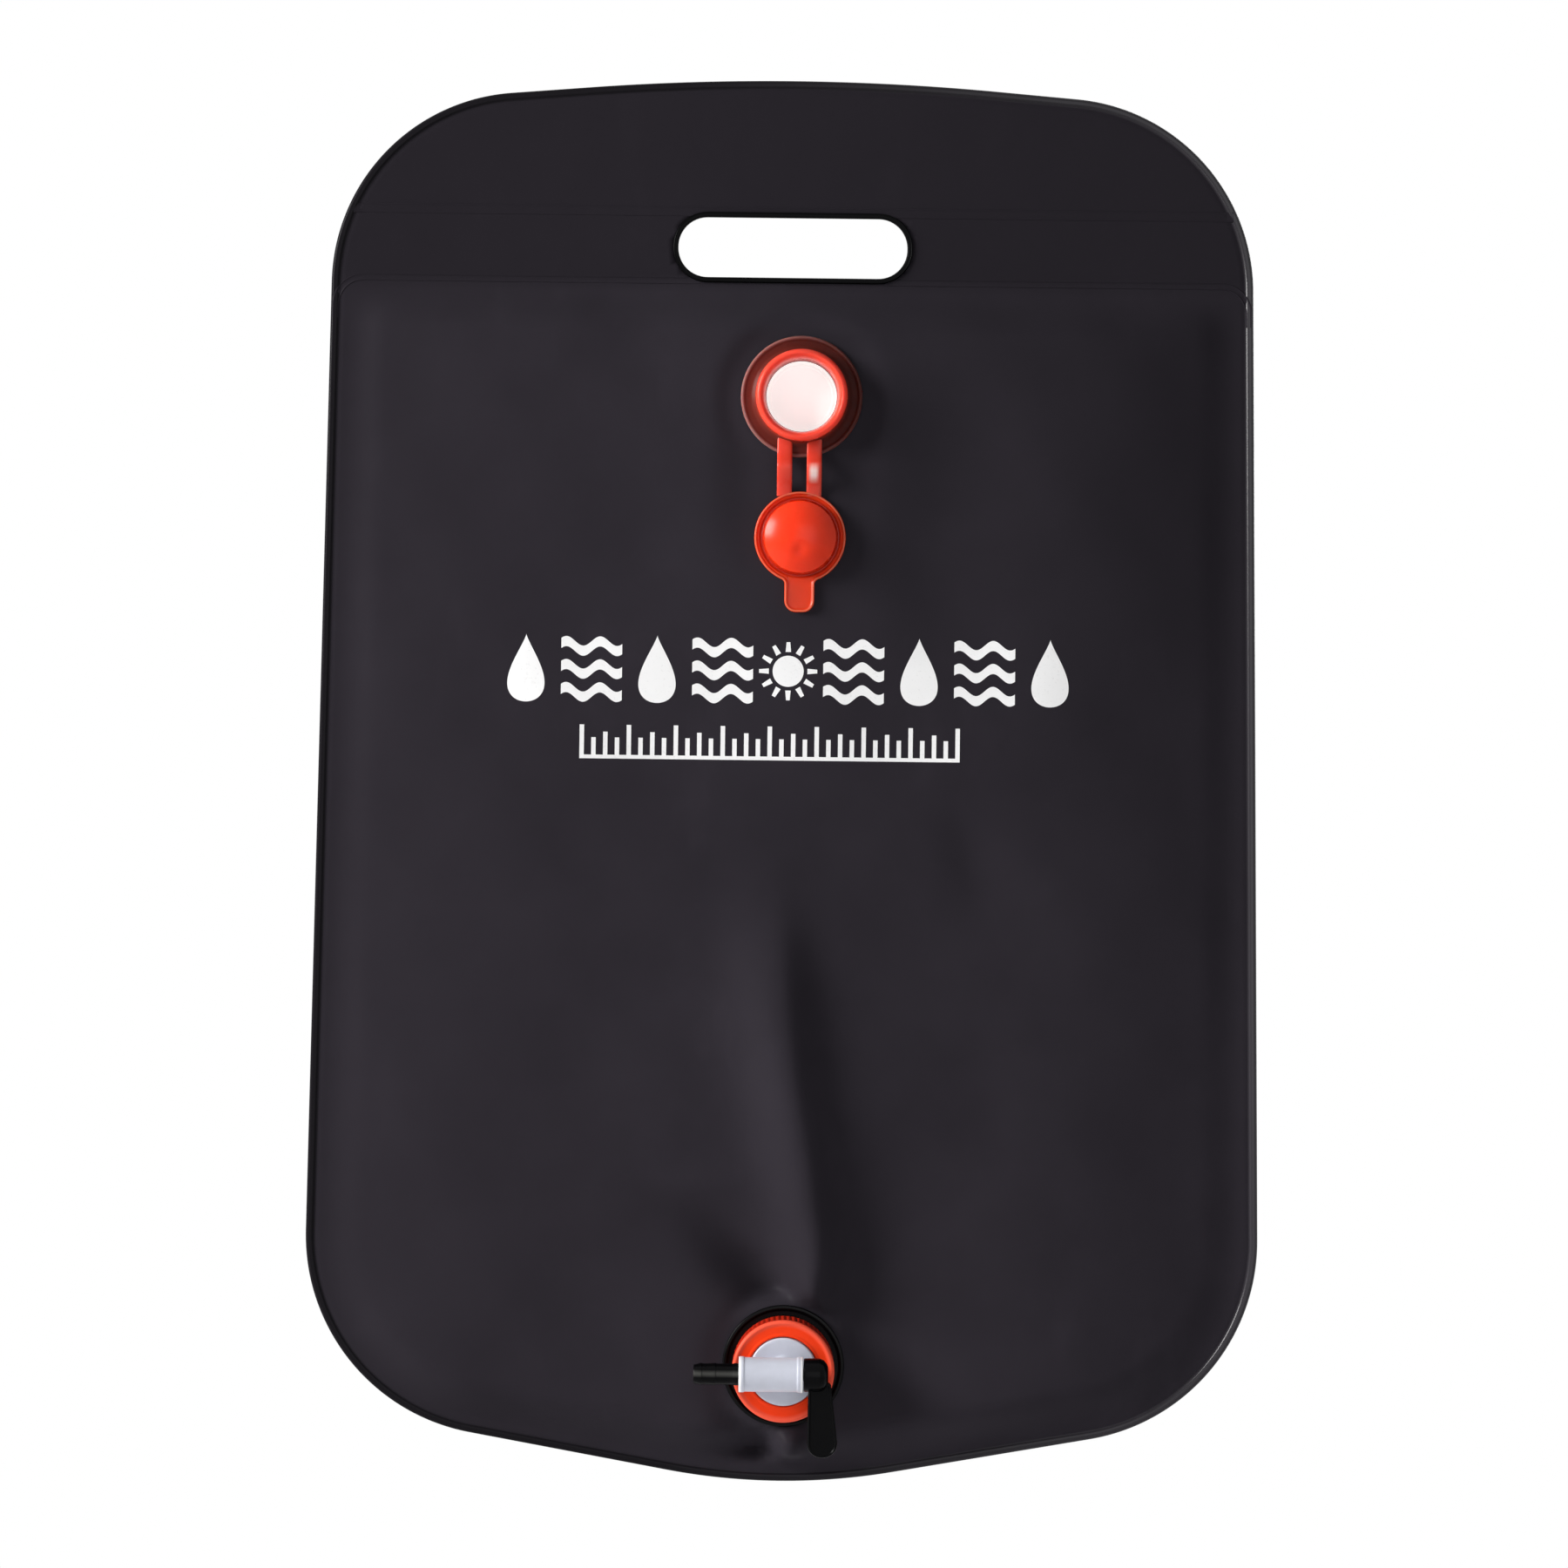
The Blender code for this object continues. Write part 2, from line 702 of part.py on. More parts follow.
def make_core(pivot, finish, seal_finish):
    """The rotary core: grooves for two seals, a stem for the lever and an L-shaped passage."""
    seat = core_radius - seal_groove_depth
    half_groove = seal_width / 2 + fit_gap / 2
    stem_end = barrel_right + core_stem_length
    profile = [(0, -core_inset), (core_radius, -core_inset)]
    for place in (-seal_spacing / 2, seal_spacing / 2):
        profile += [
            (core_radius, place - half_groove),
            (seat, place - half_groove),
            (seat, place + half_groove),
            (core_radius, place + half_groove),
        ]
    profile += [
        (core_radius, barrel_right),
        (core_stem_radius, barrel_right),
        (core_stem_radius, stem_end),
        (0, stem_end),
    ]
    core = turned("tap_core", profile, core_steps, finish, pivot, along="X")
    low = -core_inset - overrun
    high = core_passage_radius
    axial = [(0, low), (core_passage_radius, low), (core_passage_radius, high), (0, high)]
    combine(core, turned("axial_tool", axial, core_steps, finish, pivot, along="X"), "DIFFERENCE")
    circle = [(point.x, point.y) for point in circle_loop(0, 0, core_passage_radius, core_steps)]
    port = prism("port_tool", circle, 0, core_radius + overrun, finish, pivot)
    port.rotation_euler = (math.pi / 2, 0, 0)
    combine(core, port, "DIFFERENCE")
    weld_slivers(core)
    seal_outer = barrel_bore_radius - seal_radial_gap
    seal_inner = seat + seal_radial_gap
    for place, word in ((-seal_spacing / 2, "inner"), (seal_spacing / 2, "outer")):
        ring = [
            (seal_inner, place - seal_width / 2),
            (seal_outer, place - seal_width / 2),
            (seal_outer, place + seal_width / 2),
            (seal_inner, place + seal_width / 2),
        ]
        turned(f"core_seal_{word}", ring, core_steps, seal_finish, pivot, along="X")


def make_lever(pivot, finish):
    """The lever: a hub on the core's stem and a flat arm that widens to a round end."""
    start = barrel_right + fit_gap
    end = start + lever_hub_length
    socket_end = barrel_right + core_stem_length + fit_gap
    socket = core_stem_radius + fit_gap
    profile = [
        (0, socket_end),
        (socket, socket_end),
        (socket, start),
        (lever_hub_radius, start),
        (lever_hub_radius, end - lever_hub_chamfer),
        (lever_hub_radius - lever_hub_chamfer, end),
        (0, end),
    ]
    hub = turned("tap_lever", profile, tap_steps, finish, pivot, along="X")
    root_left = barrel_right + lever_root_offset
    root_right = root_left + lever_root_width
    middle = (root_left + root_right) / 2 + lever_end_lean
    top = -core_stem_radius - fit_gap - lever_root_drop
    corners = [
        (root_left, top),
        (root_right, top),
        (middle + lever_end_width / 2, -lever_length),
        (middle - lever_end_width / 2, -lever_length),
    ]
    fillets = (lever_hub_chamfer, lever_hub_chamfer, lever_end_radius, lever_end_radius)
    outline = [(point.x, point.y) for point in rounded(corners, fillets, strap_sides, (1, 1, 1, 1))]
    arm = prism("arm_tool", outline, -lever_thickness / 2, lever_thickness / 2, finish, pivot)
    combine(hub, arm, "UNION")
    weld_slivers(hub)


def build():
    clear_scene()
    film_finish = material("black_film", (0.024, 0.023, 0.028), 0.45)
    rim_finish = material("black_rim", (0.012, 0.012, 0.014), 0.35)
    filler_finish = material("red_orange_vinyl", (0.80, 0.075, 0.035), 0.25)
    valve_finish = material("white_vinyl", (0.92, 0.87, 0.83), 0.45)
    collar_finish = material("orange_cap", (0.83, 0.080, 0.030), 0.35)
    tap_finish = material("milky_plastic", (0.86, 0.87, 0.90), 0.35)
    black_finish = material("black_moulding", (0.010, 0.010, 0.011), 0.35)
    rubber_finish = material("black_rubber", (0.015, 0.015, 0.015), 0.70)
    make_films(film_finish)
    make_handle_rim(rim_finish)
    filler_frame = empty("filler_frame", (filler_side, -front_face, -filler_drop))
    make_filler(filler_frame, filler_finish)
    make_valve(filler_frame, valve_finish)
    make_plug(filler_frame, filler_finish)
    outlet_frame = empty("outlet_frame", (outlet_side, -front_face, -outlet_drop))
    make_outlet(outlet_frame, black_finish)
    tap_frame = empty("tap_frame", (0, 0, 0), outlet_frame)
    make_collar(tap_frame, collar_finish)
    make_tap_body(tap_frame, rubber_finish, tap_finish)
    make_nipple(tap_frame, black_finish)
    lever_pivot = empty("lever_pivot", (0, -barrel_height, 0), tap_frame)
    make_core(lever_pivot, black_finish, rubber_finish)
    make_lever(lever_pivot, black_finish)


build()
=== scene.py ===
"""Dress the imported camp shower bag: its films, welds, print, handle rim, filler, plug, straps and outlet tap.

Metres, +Z up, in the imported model's own axes. The bag hangs from the hand slot's upper edge, which is the
origin, and its front faces -Y. In the names below a height is a distance out of the front film, towards -Y.
"""

import json
import math

import bpy
import numpy as np
from mathutils import Matrix, Vector


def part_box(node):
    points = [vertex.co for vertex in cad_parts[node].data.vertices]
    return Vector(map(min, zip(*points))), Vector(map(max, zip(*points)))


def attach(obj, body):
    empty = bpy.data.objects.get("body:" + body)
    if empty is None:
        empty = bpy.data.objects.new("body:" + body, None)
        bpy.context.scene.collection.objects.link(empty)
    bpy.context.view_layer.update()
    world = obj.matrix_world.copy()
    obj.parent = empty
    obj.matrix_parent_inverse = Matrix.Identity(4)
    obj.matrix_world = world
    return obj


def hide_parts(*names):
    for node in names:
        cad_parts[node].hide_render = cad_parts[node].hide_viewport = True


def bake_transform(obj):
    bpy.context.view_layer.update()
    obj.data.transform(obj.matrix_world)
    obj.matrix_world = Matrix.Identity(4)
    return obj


bl_info = {
    "name": "Camp Shower Bag",
    "version": (1, 0, 0),
    "blender": (4, 5, 0),
    "location": "View3D > Sidebar > Shower Bag",
    "description": "Builds the visible surfaces of a hanging camp shower bag round its packed model",
    "category": "Object",
}

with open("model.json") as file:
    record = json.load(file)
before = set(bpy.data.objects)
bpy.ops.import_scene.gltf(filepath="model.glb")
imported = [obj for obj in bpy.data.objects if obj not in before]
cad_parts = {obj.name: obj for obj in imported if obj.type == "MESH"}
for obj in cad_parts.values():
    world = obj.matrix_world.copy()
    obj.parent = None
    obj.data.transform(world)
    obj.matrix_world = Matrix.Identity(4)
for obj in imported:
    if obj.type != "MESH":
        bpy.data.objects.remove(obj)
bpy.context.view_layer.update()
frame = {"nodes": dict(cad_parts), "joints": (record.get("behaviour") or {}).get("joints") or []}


def node_box(name):
    """A node's lowest and highest corner as two numpy rows."""
    return np.array([tuple(corner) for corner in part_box(name)])


def half_span(box, axis=0):
    """Half of a box's extent along an axis."""
    return (box[1, axis] - box[0, axis]) / 2


def heights(box):
    """The heights at which a box starts and ends."""
    return -box[1, 1], -box[0, 1]


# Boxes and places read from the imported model
film_box = node_box("front_panel")
rim_box = node_box("handle_rim")
neck_box = node_box("filler_neck")
flap_box = node_box("check_flap")
plug_box = node_box("filler_plug")
flange_box = node_box("outlet_flange")
collar_box = node_box("outlet_collar")
tap_box = node_box("tap_body")
nipple_box = node_box("hose_nipple")
lever_box = node_box("tap_lever")
head_z, tip_z = film_box[1, 2], film_box[0, 2]
neck_x, neck_z = neck_box.mean(axis=0)[[0, 2]]
tap_x, tap_z = collar_box.mean(axis=0)[[0, 2]]
barrel_y, barrel_z = nipple_box.mean(axis=0)[[1, 2]]
neck_place, outlet_place, barrel_place = (neck_x, 0, neck_z), (tap_x, 0, tap_z), (0, barrel_y, barrel_z)
bend = np.array(next(joint["pos_m"] for joint in frame["joints"] if joint["name"] == "plug_tether"))

# The bag's outline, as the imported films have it, and the radius of the boss that the collar clamps
head_width = 0.3924
foot_width = 0.4112
head_slope = math.radians(4.7)
foot_slope = math.radians(10.1)
head_crown = 1.06
foot_crown = 0.276
shoulder_radius = 0.083
hip_radius = 0.086
boss_radius = 0.0143

# The film's thickness, the widths of the weld and of its fused strip, the belly's depth, and the runs over
# which it rises in from the sides, in from the fused strip and down from the hand slot's seam. A free film
# is rippled and lies a little lower.
film_thickness = 0.0005
weld_width = 0.007
strip_width = 0.0040
belly_depth = 0.012
side_run = 0.100
edge_run = 0.020
head_run = 0.022
seam_z = rim_box[0, 2] - 0.0006
weld_height = film_thickness + 0.00015
ripple_height = 0.0005
settling = 0.0004

# The films' grid: how far inside the outline its edge lines lie, and the parts of its straight middle
edge_insets = (0, 0.2, 0.5, 0.9, 1.4, 2, 2.6, 3, 3.4, 4, 5, 6.2, 7.2, 8.8, 10.8, 13.2)
edge_insets = np.array((*edge_insets, *range(16, 77, 3), 78.5, 81)) / 1000
across_parts = 38
along_parts = 138

# The films' folds: each by rows of z, x, width to the left, width to the right and height, in millimetres
front_folds = (
    (
        (-486, 11, 8, 6, 0), (-472, 12, 8, 6, 5.2), (-459, 13.5, 9.2, 8, 8.8), (-444, 15, 11.8, 10.2, 11.2),
        (-416, 11.5, 15.2, 12.6, 12.4), (-384, 6, 16.6, 13.2, 12.2), (-350, 1.2, 17.8, 13, 10.6),
        (-322, -2, 19, 12.5, 7.6), (-298, -4.8, 20.6, 12.5, 3), (-268, -8, 24, 13, 0),
    ),
    (
        (-486, 4, 8, 7, 0), (-472, 1.5, 13, 7, -5), (-461, -1, 16.5, 8, -9.8), (-449, -9.5, 18, 11.5, -10.8),
        (-437, -19.5, 18, 16, -7), (-414, -34, 19, 20, 0),
    ),
    (
        (-532, 36, 10, 18, 0), (-512, 38, 11, 22, -3.4), (-490, 39.5, 12, 24, -5), (-468, 39, 12, 22, -4.6),
        (-450, 38.5, 11, 18, -3.4), (-420, 43, 11, 17, -1.4), (-385, 50, 12, 20, 0),
    ),
    ((-545, 6.2, 8, 9, 5.5), (-530, 5, 8, 9, 11.5), (-515, 2, 8, 8, 7.5), (-500, 2, 9, 9, 0)),
    ((-545, -8.5, 13, 7, -5.5), (-530, -8.5, 15, 8, -11.5), (-515, -8.5, 14, 9, -8), (-500, -12, 14, 10, 0)),
    ((-195, 68, 22, 36, 0), (-150, 70, 24, 40, -2.4), (-100, 70, 24, 40, -2), (-60, 66, 22, 36, 0)),
    ((-300, 86, 12, 12, 0), (-272, 80, 10, 14, -1.6), (-240, 70, 12, 12, 0)),
    ((-430, 70, 30, 30, 0), (-340, 100, 26, 34, -1.8), (-220, 115, 30, 40, 0)),
    ((-380, -85, 40, 50, 0), (-280, -105, 40, 50, 1.6), (-150, -125, 40, 40, 0)),
)
back_folds = (
    ((-440, -15, 22, 22, 0), (-330, -12, 24, 30, -3.4), (-200, 8, 30, 30, -2.2), (-90, 25, 30, 30, 0)),
    ((-520, 0, 12, 14, 0), (-420, 30, 18, 22, 3.2), (-300, 58, 24, 24, 0)),
    ((-520, -20, 14, 16, 0), (-420, -62, 20, 22, -3), (-320, -95, 24, 24, 0)),
)


def smooth(value, low, high):
    """A smooth step of a value from 0 at low to 1 at high: 3 t squared less 2 t cubed."""
    share = np.clip((value - low) / (high - low), 0, 1)
    return share * share * (3 - 2 * share)


def mix(first, second, share):
    """The first value at a share of 0, the second at 1, and straight between."""
    return first + (second - first) * share


class Outline:
    """The bag's outline: straight edges joined by arcs. The right half is stated, the left one mirrors it.

    An edge is its outward normal's x and z, and the distance of the edge from the origin along it.
    """

    def __init__(self):
        flare = (foot_width - head_width) / 2 / (head_z - tip_z)
        side = np.array((1, flare)) / math.hypot(1, flare)
        head_rise = head_z + head_crown * (1 / math.cos(head_slope) - 1)
        foot_drop = tip_z - foot_crown * (1 / math.cos(foot_slope) - 1)
        self.side = (*side, side @ (head_width / 2, head_z))
        self.head = (math.sin(head_slope), math.cos(head_slope), math.cos(head_slope) * head_rise)
        self.foot = (math.sin(foot_slope), -math.cos(foot_slope), -math.cos(foot_slope) * foot_drop)
        self.shoulder = self.meeting(self.head, self.side, shoulder_radius)
        self.hip = self.meeting(self.side, self.foot, hip_radius)

    def meeting(self, first, second, radius):
        """The point that lies a radius inside two edges: the centre of the arc between them."""
        return np.linalg.solve([first[:2], second[:2]], [first[2] - radius, second[2] - radius])

    def from_edge(self, edge, x, z):
        """How far inside a straight edge a point lies."""
        return edge[2] - edge[0] * np.abs(x) - edge[1] * z

    def inset(self, x, z):
        """How far inside the outline a point lies: the least distance to the edges, or to an arc."""
        inset = np.minimum.reduce([self.from_edge(edge, x, z) for edge in (self.side, self.head, self.foot)])
        corners = (
            (self.shoulder, shoulder_radius, self.head, self.side),
            (self.hip, hip_radius, self.side, self.foot),
            ((0, head_z - head_crown), head_crown, (0, 1), self.head),
            ((0, tip_z + foot_crown), foot_crown, self.foot, (0, -1)),
        )
        for centre, radius, first, second in corners:
            u, v = np.abs(x) - centre[0], z - centre[1]
            inside = (first[0] * v - first[1] * u <= 0) & (u * second[1] - v * second[0] <= 0)
            inset = np.where(inside, radius - np.hypot(u, v), inset)
        return inset

    def border(self, share, edge, crown, middle, corner, radius):
        """Points and normal angles of the head or foot edge, from its middle to the corner's arc."""
        up = math.copysign(1, edge[1])
        x = share * (corner[0] + radius * edge[0])
        height = np.sqrt(np.maximum(crown**2 - x**2, 0))
        on_crown = x < crown * edge[0]
        z = np.where(on_crown, middle + up * (height - crown), (edge[2] - edge[0] * x) / edge[1])
        angle = np.where(on_crown, np.arctan2(up * height, x), math.atan2(edge[1], edge[0]))
        return x, z, angle

    def grid(self):
        """The films' grid of x and z.

        Three parts follow each other across and along: an edge band, the straight middle and the other edge
        band. In an edge band a point lies at a share of the corner's radius out from the middle part, along
        the edge's normal. In a corner both shares count: their larger one gives the radius, and their ratio
        the angle between the two edges' normals.
        """
        shares = 1 - edge_insets / shoulder_radius
        outward, full = shares[::-1], np.ones(len(shares))
        middle_a, middle_b = (np.linspace(0, 1, parts + 1) for parts in (across_parts, along_parts))
        across = np.concatenate([middle_a, full])[None, :]
        side_share = np.concatenate([0 * middle_a, outward])[None, :]
        along = np.concatenate([0 * full, middle_b, full])[:, None]
        edge_share = np.concatenate([shares, 0 * middle_b, outward])[:, None]
        head = self.border(across, self.head, head_crown, head_z, self.shoulder, shoulder_radius)
        foot = self.border(across, self.foot, foot_crown, tip_z, self.hip, hip_radius)
        inner = [
            (x - radius * np.cos(angle), z - radius * np.sin(angle))
            for (x, z, angle), radius in ((head, shoulder_radius), (foot, hip_radius))
        ]
        x, z = (mix(first, second, along) for first, second in zip(*inner))
        reach = np.maximum(side_share, edge_share)
        ratio = np.minimum(side_share, edge_share) / np.maximum(reach, 1e-9) / 2
        turn = np.where(side_share >= edge_share, 1 - ratio, ratio)
        edge_angle = np.where(along < 0.5, head[2], foot[2])
        angle = mix(edge_angle, math.atan2(self.side[1], self.side[0]), np.where(reach > 0, turn, 0))
        radius = mix(shoulder_radius, hip_radius, along) * reach
        x = x + radius * np.cos(angle)
        z = z + radius * np.sin(angle)
        return np.hstack([-x[:, :0:-1], x]), np.hstack([z[:, :0:-1], z])


outline = Outline()


def chamber_share(x, z):
    """The belly's height at a point as a share of its full height: a product of three shares.

    One swells in from the sides as 1 less the square of the way that is left, one rises smoothly in from the
    fused strip all round, and one rises smoothly down from the slot's seam.
    """
    from_side = outline.from_edge(outline.side, x, z) - weld_width
    swell = 1 - (1 - np.clip(from_side / side_run, 0, 1)) ** 2
    rise = smooth(outline.inset(x, z), strip_width, strip_width + edge_run)
    return swell * rise * smooth(seam_z - z, 0, head_run)


def through(places, values, at):
    """A smooth curve through knots: cubic pieces, whose slope at a knot is the mean of the ones beside it."""
    slopes = np.gradient(values, places)
    at = np.clip(at, places[0], places[-1])
    knot = np.clip(np.searchsorted(places, at) - 1, 0, len(places) - 2)
    run = places[knot + 1] - places[knot]
    t = (at - places[knot]) / run
    start = (1 + 2 * t) * (1 - t) ** 2 * values[knot] + t * (1 - t) ** 2 * run * slopes[knot]
    return start + t**2 * (3 - 2 * t) * values[knot + 1] - t**2 * (1 - t) * run * slopes[knot + 1]


def fold(x, z, rows):
    """A fold: a bell across it, whose place, two widths and height run smoothly through its rows."""
    rows = np.array(rows) / 1000
    place, left, right, height = (through(rows[:, 0], rows[:, column], z) for column in range(1, 5))
    away = x - place
    return height * np.exp(-((away / np.where(away < 0, left, right)) ** 2))


def from_fittings(x, z):
    """Distances outside the filler's flange and the outlet's flange."""
    from_neck = np.hypot(x - neck_x, z - neck_z) - half_span(neck_box)
    return from_neck, np.hypot(x - tap_x, z - tap_z) - half_span(flange_box)


def fitting_swell(x, z):
    """The front film stands up a little round a welded fitting: a rise to its height and a slow bell down.

    It lies flat behind the hanging plug and its straps, along an upright line with room on both sides.
    """
    rise, spread, neck_height, outlet_height = 0.012, 0.045, 0.0022, 0.0009
    flat_reach, full_reach = 0.021, 0.040
    neck_swell, outlet_swell = (
        height * smooth(away, 0, rise) * np.exp(-((away / spread) ** 2))
        for away, height in zip(from_fittings(x, z), (neck_height, outlet_height))
    )
    from_plug = np.hypot(x - neck_x, z - np.clip(z, plug_box[0, 2], neck_z))
    return (neck_swell + outlet_swell) * smooth(from_plug, flat_reach, full_reach)


def edge_bead(inset):
    """The fused edge: it rounds off at the outline, stands up as a strip 3 mm wide and ends in a groove."""
    drop, drop_run = 0.00060, 0.0009
    lift, lift_run, fall_start, fall_end = 0.00050, 0.0010, 0.0026, 0.0034
    groove_depth, groove_middle, groove_width = 0.00030, 0.0037, 0.0005
    rounding = drop * (1 - np.sqrt(np.clip(inset / drop_run, 0, 1)))
    strip = lift * smooth(inset, 0, lift_run) * (1 - smooth(inset, fall_start, fall_end))
    groove = groove_depth * np.exp(-(((inset - groove_middle) / groove_width) ** 2))
    return strip - rounding - groove


def ripples(x, z, seed):
    """Gentle waves of the film: three crossed sines of unlike length and direction."""
    waves = np.sin(41 * x + 17 * z + seed) * np.sin(23 * z - 11 * x + 2 * seed)
    waves += 0.6 * np.sin(67 * x - 29 * z + 3 * seed) * np.sin(37 * z + 5 * seed)
    return waves + 0.35 * np.sin(113 * x + 71 * z + 7 * seed)


def film_height(x, z, folds, seed):
    """The film's outer face as a distance from the bag's middle plane.

    Folds and ripples are added where the film is free of the fittings, and the edge bead where it is fused.
    """
    free_share, held_reach, free_reach = 0.5, 0.0003, 0.0060
    share = chamber_share(x, z)
    from_nearest = np.minimum(*from_fittings(x, z))
    free = smooth(share, 0, free_share) * smooth(from_nearest, held_reach, free_reach)
    relief = ripple_height * ripples(x, z, seed) - settling + sum(fold(x, z, rows) for rows in folds)
    return weld_height + belly_depth * share + edge_bead(outline.inset(x, z)) + relief * free


def front_height(x, z):
    """The front film's height: its folds and its swell round the fittings."""
    return film_height(x, z, front_folds, 1.3) + fitting_swell(x, z) * smooth(chamber_share(x, z), 0, 0.8)


def back_height(x, z):
    """The back film's distance behind the middle plane."""
    return film_height(x, z, back_folds, 4.1)


def to_hole(x, z, hole):
    """Distance outside a hole given as (x, z, half width, half height, corner radius), and its nearest point.

    The steps u and v run from the centre of the nearest corner's arc. Beyond it in both, the distance is that
    from the arc, and otherwise that from the nearer straight side.
    """
    hole_x, hole_z, half_width, half_height, radius = hole
    u = np.abs(x - hole_x) - half_width + radius
    v = np.abs(z - hole_z) - half_height + radius
    away = np.hypot(np.maximum(u, 0), np.maximum(v, 0)) + np.minimum(np.maximum(u, v), 0) - radius
    length = np.maximum(np.hypot(u, v), 1e-9)
    corner = (u > 0) & (v > 0)
    edge_u = np.where(corner, u / length * radius, np.where(u > v, radius, u))
    edge_v = np.where(corner, v / length * radius, np.where(u > v, v, radius))
    near_x = hole_x + np.sign(x - hole_x) * (edge_u + half_width - radius)
    near_z = hole_z + np.sign(z - hole_z) * (edge_v + half_height - radius)
    return away, near_x, near_z


def points_of(*coordinates):
    """Points from their coordinates, which are first spread to one shape."""
    return np.stack(np.broadcast_arrays(*coordinates), axis=-1)


def circle(angle):
    """Points of a circle of radius 1: across goes the cosine, up the sine."""
    return points_of(np.cos(angle), np.sin(angle))


def unit(vectors):
    """Two-dimensional vectors made 1 long."""
    return vectors / np.hypot(*vectors.T)[:, None]


def linked(name, data):
    """A new object in the scene."""
    made = bpy.data.objects.new(name, data)
    bpy.context.scene.collection.objects.link(made)
    return made


def make_object(name, points, faces, finish, sharp=40):
    """A smooth-shaded object at the origin, whose edges over an angle in degrees stay sharp."""
    mesh = bpy.data.meshes.new(name)
    mesh.from_pydata(np.asarray(points).tolist(), [], faces)
    mesh.update()
    mesh.materials.append(finish)
    mesh.shade_smooth()
    mesh.set_sharp_from_angle(angle=math.radians(sharp))
    return linked(name, mesh)


def quads(rows, columns, close_rows=False, close_columns=False):
    """The quads of a grid of rows and columns, as four index columns."""
    row = np.arange(rows if close_rows else rows - 1)[:, None]
    column = np.arange(columns if close_columns else columns - 1)[None, :]
    here, below = row * columns, (row + 1) % rows * columns
    beside = (column + 1) % columns
    return points_of(here + column, here + beside, below + beside, below + column).reshape(-1, 4)


def shell(name, rings, finish, ring_shaped=False, sharp=40):
    """A closed shell from closed rings of points, with the rings' ends joined or filled by fans.

    The faces are turned outwards by the sign of the enclosed volume, the sum of the triple products of each
    face's corners.
    """
    count, steps, _ = rings.shape
    points = rings.reshape(-1, 3)
    faces = quads(count, steps, ring_shaped, True).tolist()
    if not ring_shaped:
        points = np.vstack([points, rings[0].mean(axis=0), rings[-1].mean(axis=0)])
        first = np.arange(steps)
        last = first + (count - 1) * steps
        faces += points_of(np.roll(first, -1), first, count * steps).tolist()
        faces += points_of(last, np.roll(last, -1), count * steps + 1).tolist()
    triangles = np.array([(face[0], face[k], face[k + 1]) for face in faces for k in range(1, len(face) - 1)])
    a, b, c = (points[triangles[:, k]] for k in range(3))
    if (a * np.cross(b, c)).sum() < 0:
        faces = [face[::-1] for face in faces]
    return make_object(name, points, faces, finish, sharp)


def near(first, second, *steps):
    """Points at steps, given in millimetres, from a place given by its two coordinates in metres."""
    return np.array((first, second)) + np.array(steps) / 1000


def soften(profile, radius, steps=3, closed=False):
    """Round each corner of a profile: a parabola between the points a radius before and after it.

    A short side takes less than half of itself at each end.
    """
    sides = (np.roll(profile, step, axis=0) - profile for step in (1, -1))
    start, end = (profile + side * np.minimum(radius / np.hypot(*side.T), 0.45)[:, None] for side in sides)
    t = np.linspace(0, 1, steps + 1)[None, :, None]
    curve = (1 - t) ** 2 * start[:, None] + 2 * t * (1 - t) * profile[:, None] + t**2 * end[:, None]
    if closed:
        return curve.reshape(-1, 2)
    return np.vstack([profile[:1], curve[1:-1].reshape(-1, 2), profile[-1:]])


def turned(name, parts, rounding, centre, finish, closed=False, along="Y", shape=None, steps=3, around=128):
    """A profile of (radius, height), in parts that follow each other, turned about an axis through a centre.

    Heights run towards -Y or +X. Its corners are rounded in steps, and shape is given the radii, heights and
    angles and returns new radii and heights.
    """
    profile = np.vstack(parts)
    if rounding:
        profile = soften(profile, rounding, steps, closed)
    angles = np.linspace(0, math.tau, around, endpoint=False)[None, :]
    radius = profile[:, :1] + 0 * angles
    height = profile[:, 1:] + 0 * angles
    if shape:
        radius, height = shape(radius, height, angles)
    across, up = radius * np.cos(angles), radius * np.sin(angles)
    sides = (across, -height) if along == "Y" else (height, across)
    return shell(name, np.array(centre) + points_of(*sides, up), finish, ring_shaped=closed)


def carried(name, places, across, up, shape, finish, ring_shaped=False):
    """A section's shape carried along a path: each place plus its coordinates times two directions."""
    rings = places[:, None] + across[..., None, :] * shape[:, :1] + up[..., None, :] * shape[:, 1:]
    return shell(name, rings, finish, ring_shaped)


def rounded_loop(corners, radii, spacing):
    """Points and outward normals, evenly spaced, of a clockwise polygon whose corners are arcs.

    An arc's centre lies on the line that halves the corner, a radius from both sides.
    """
    corners, radii = np.array(corners), np.array(radii)
    back, ahead = (unit(np.roll(corners, step, axis=0) - corners) for step in (1, -1))
    opening = np.arccos(np.clip((back * ahead).sum(axis=1), -1, 1))
    centres = corners + (back + ahead) / (np.hypot(*(back + ahead).T) * np.sin(opening / 2) / radii)[:, None]
    start = corners + back * (radii / np.tan(opening / 2))[:, None] - centres
    turn = (math.pi - opening)[:, None] * np.linspace(0, 1, 25)[None, :]
    x = centres[:, :1] + start[:, :1] * np.cos(turn) + start[:, 1:] * np.sin(turn)
    z = centres[:, 1:] + start[:, 1:] * np.cos(turn) - start[:, :1] * np.sin(turn)
    return evenly(points_of(x.ravel(), z.ravel()), spacing)


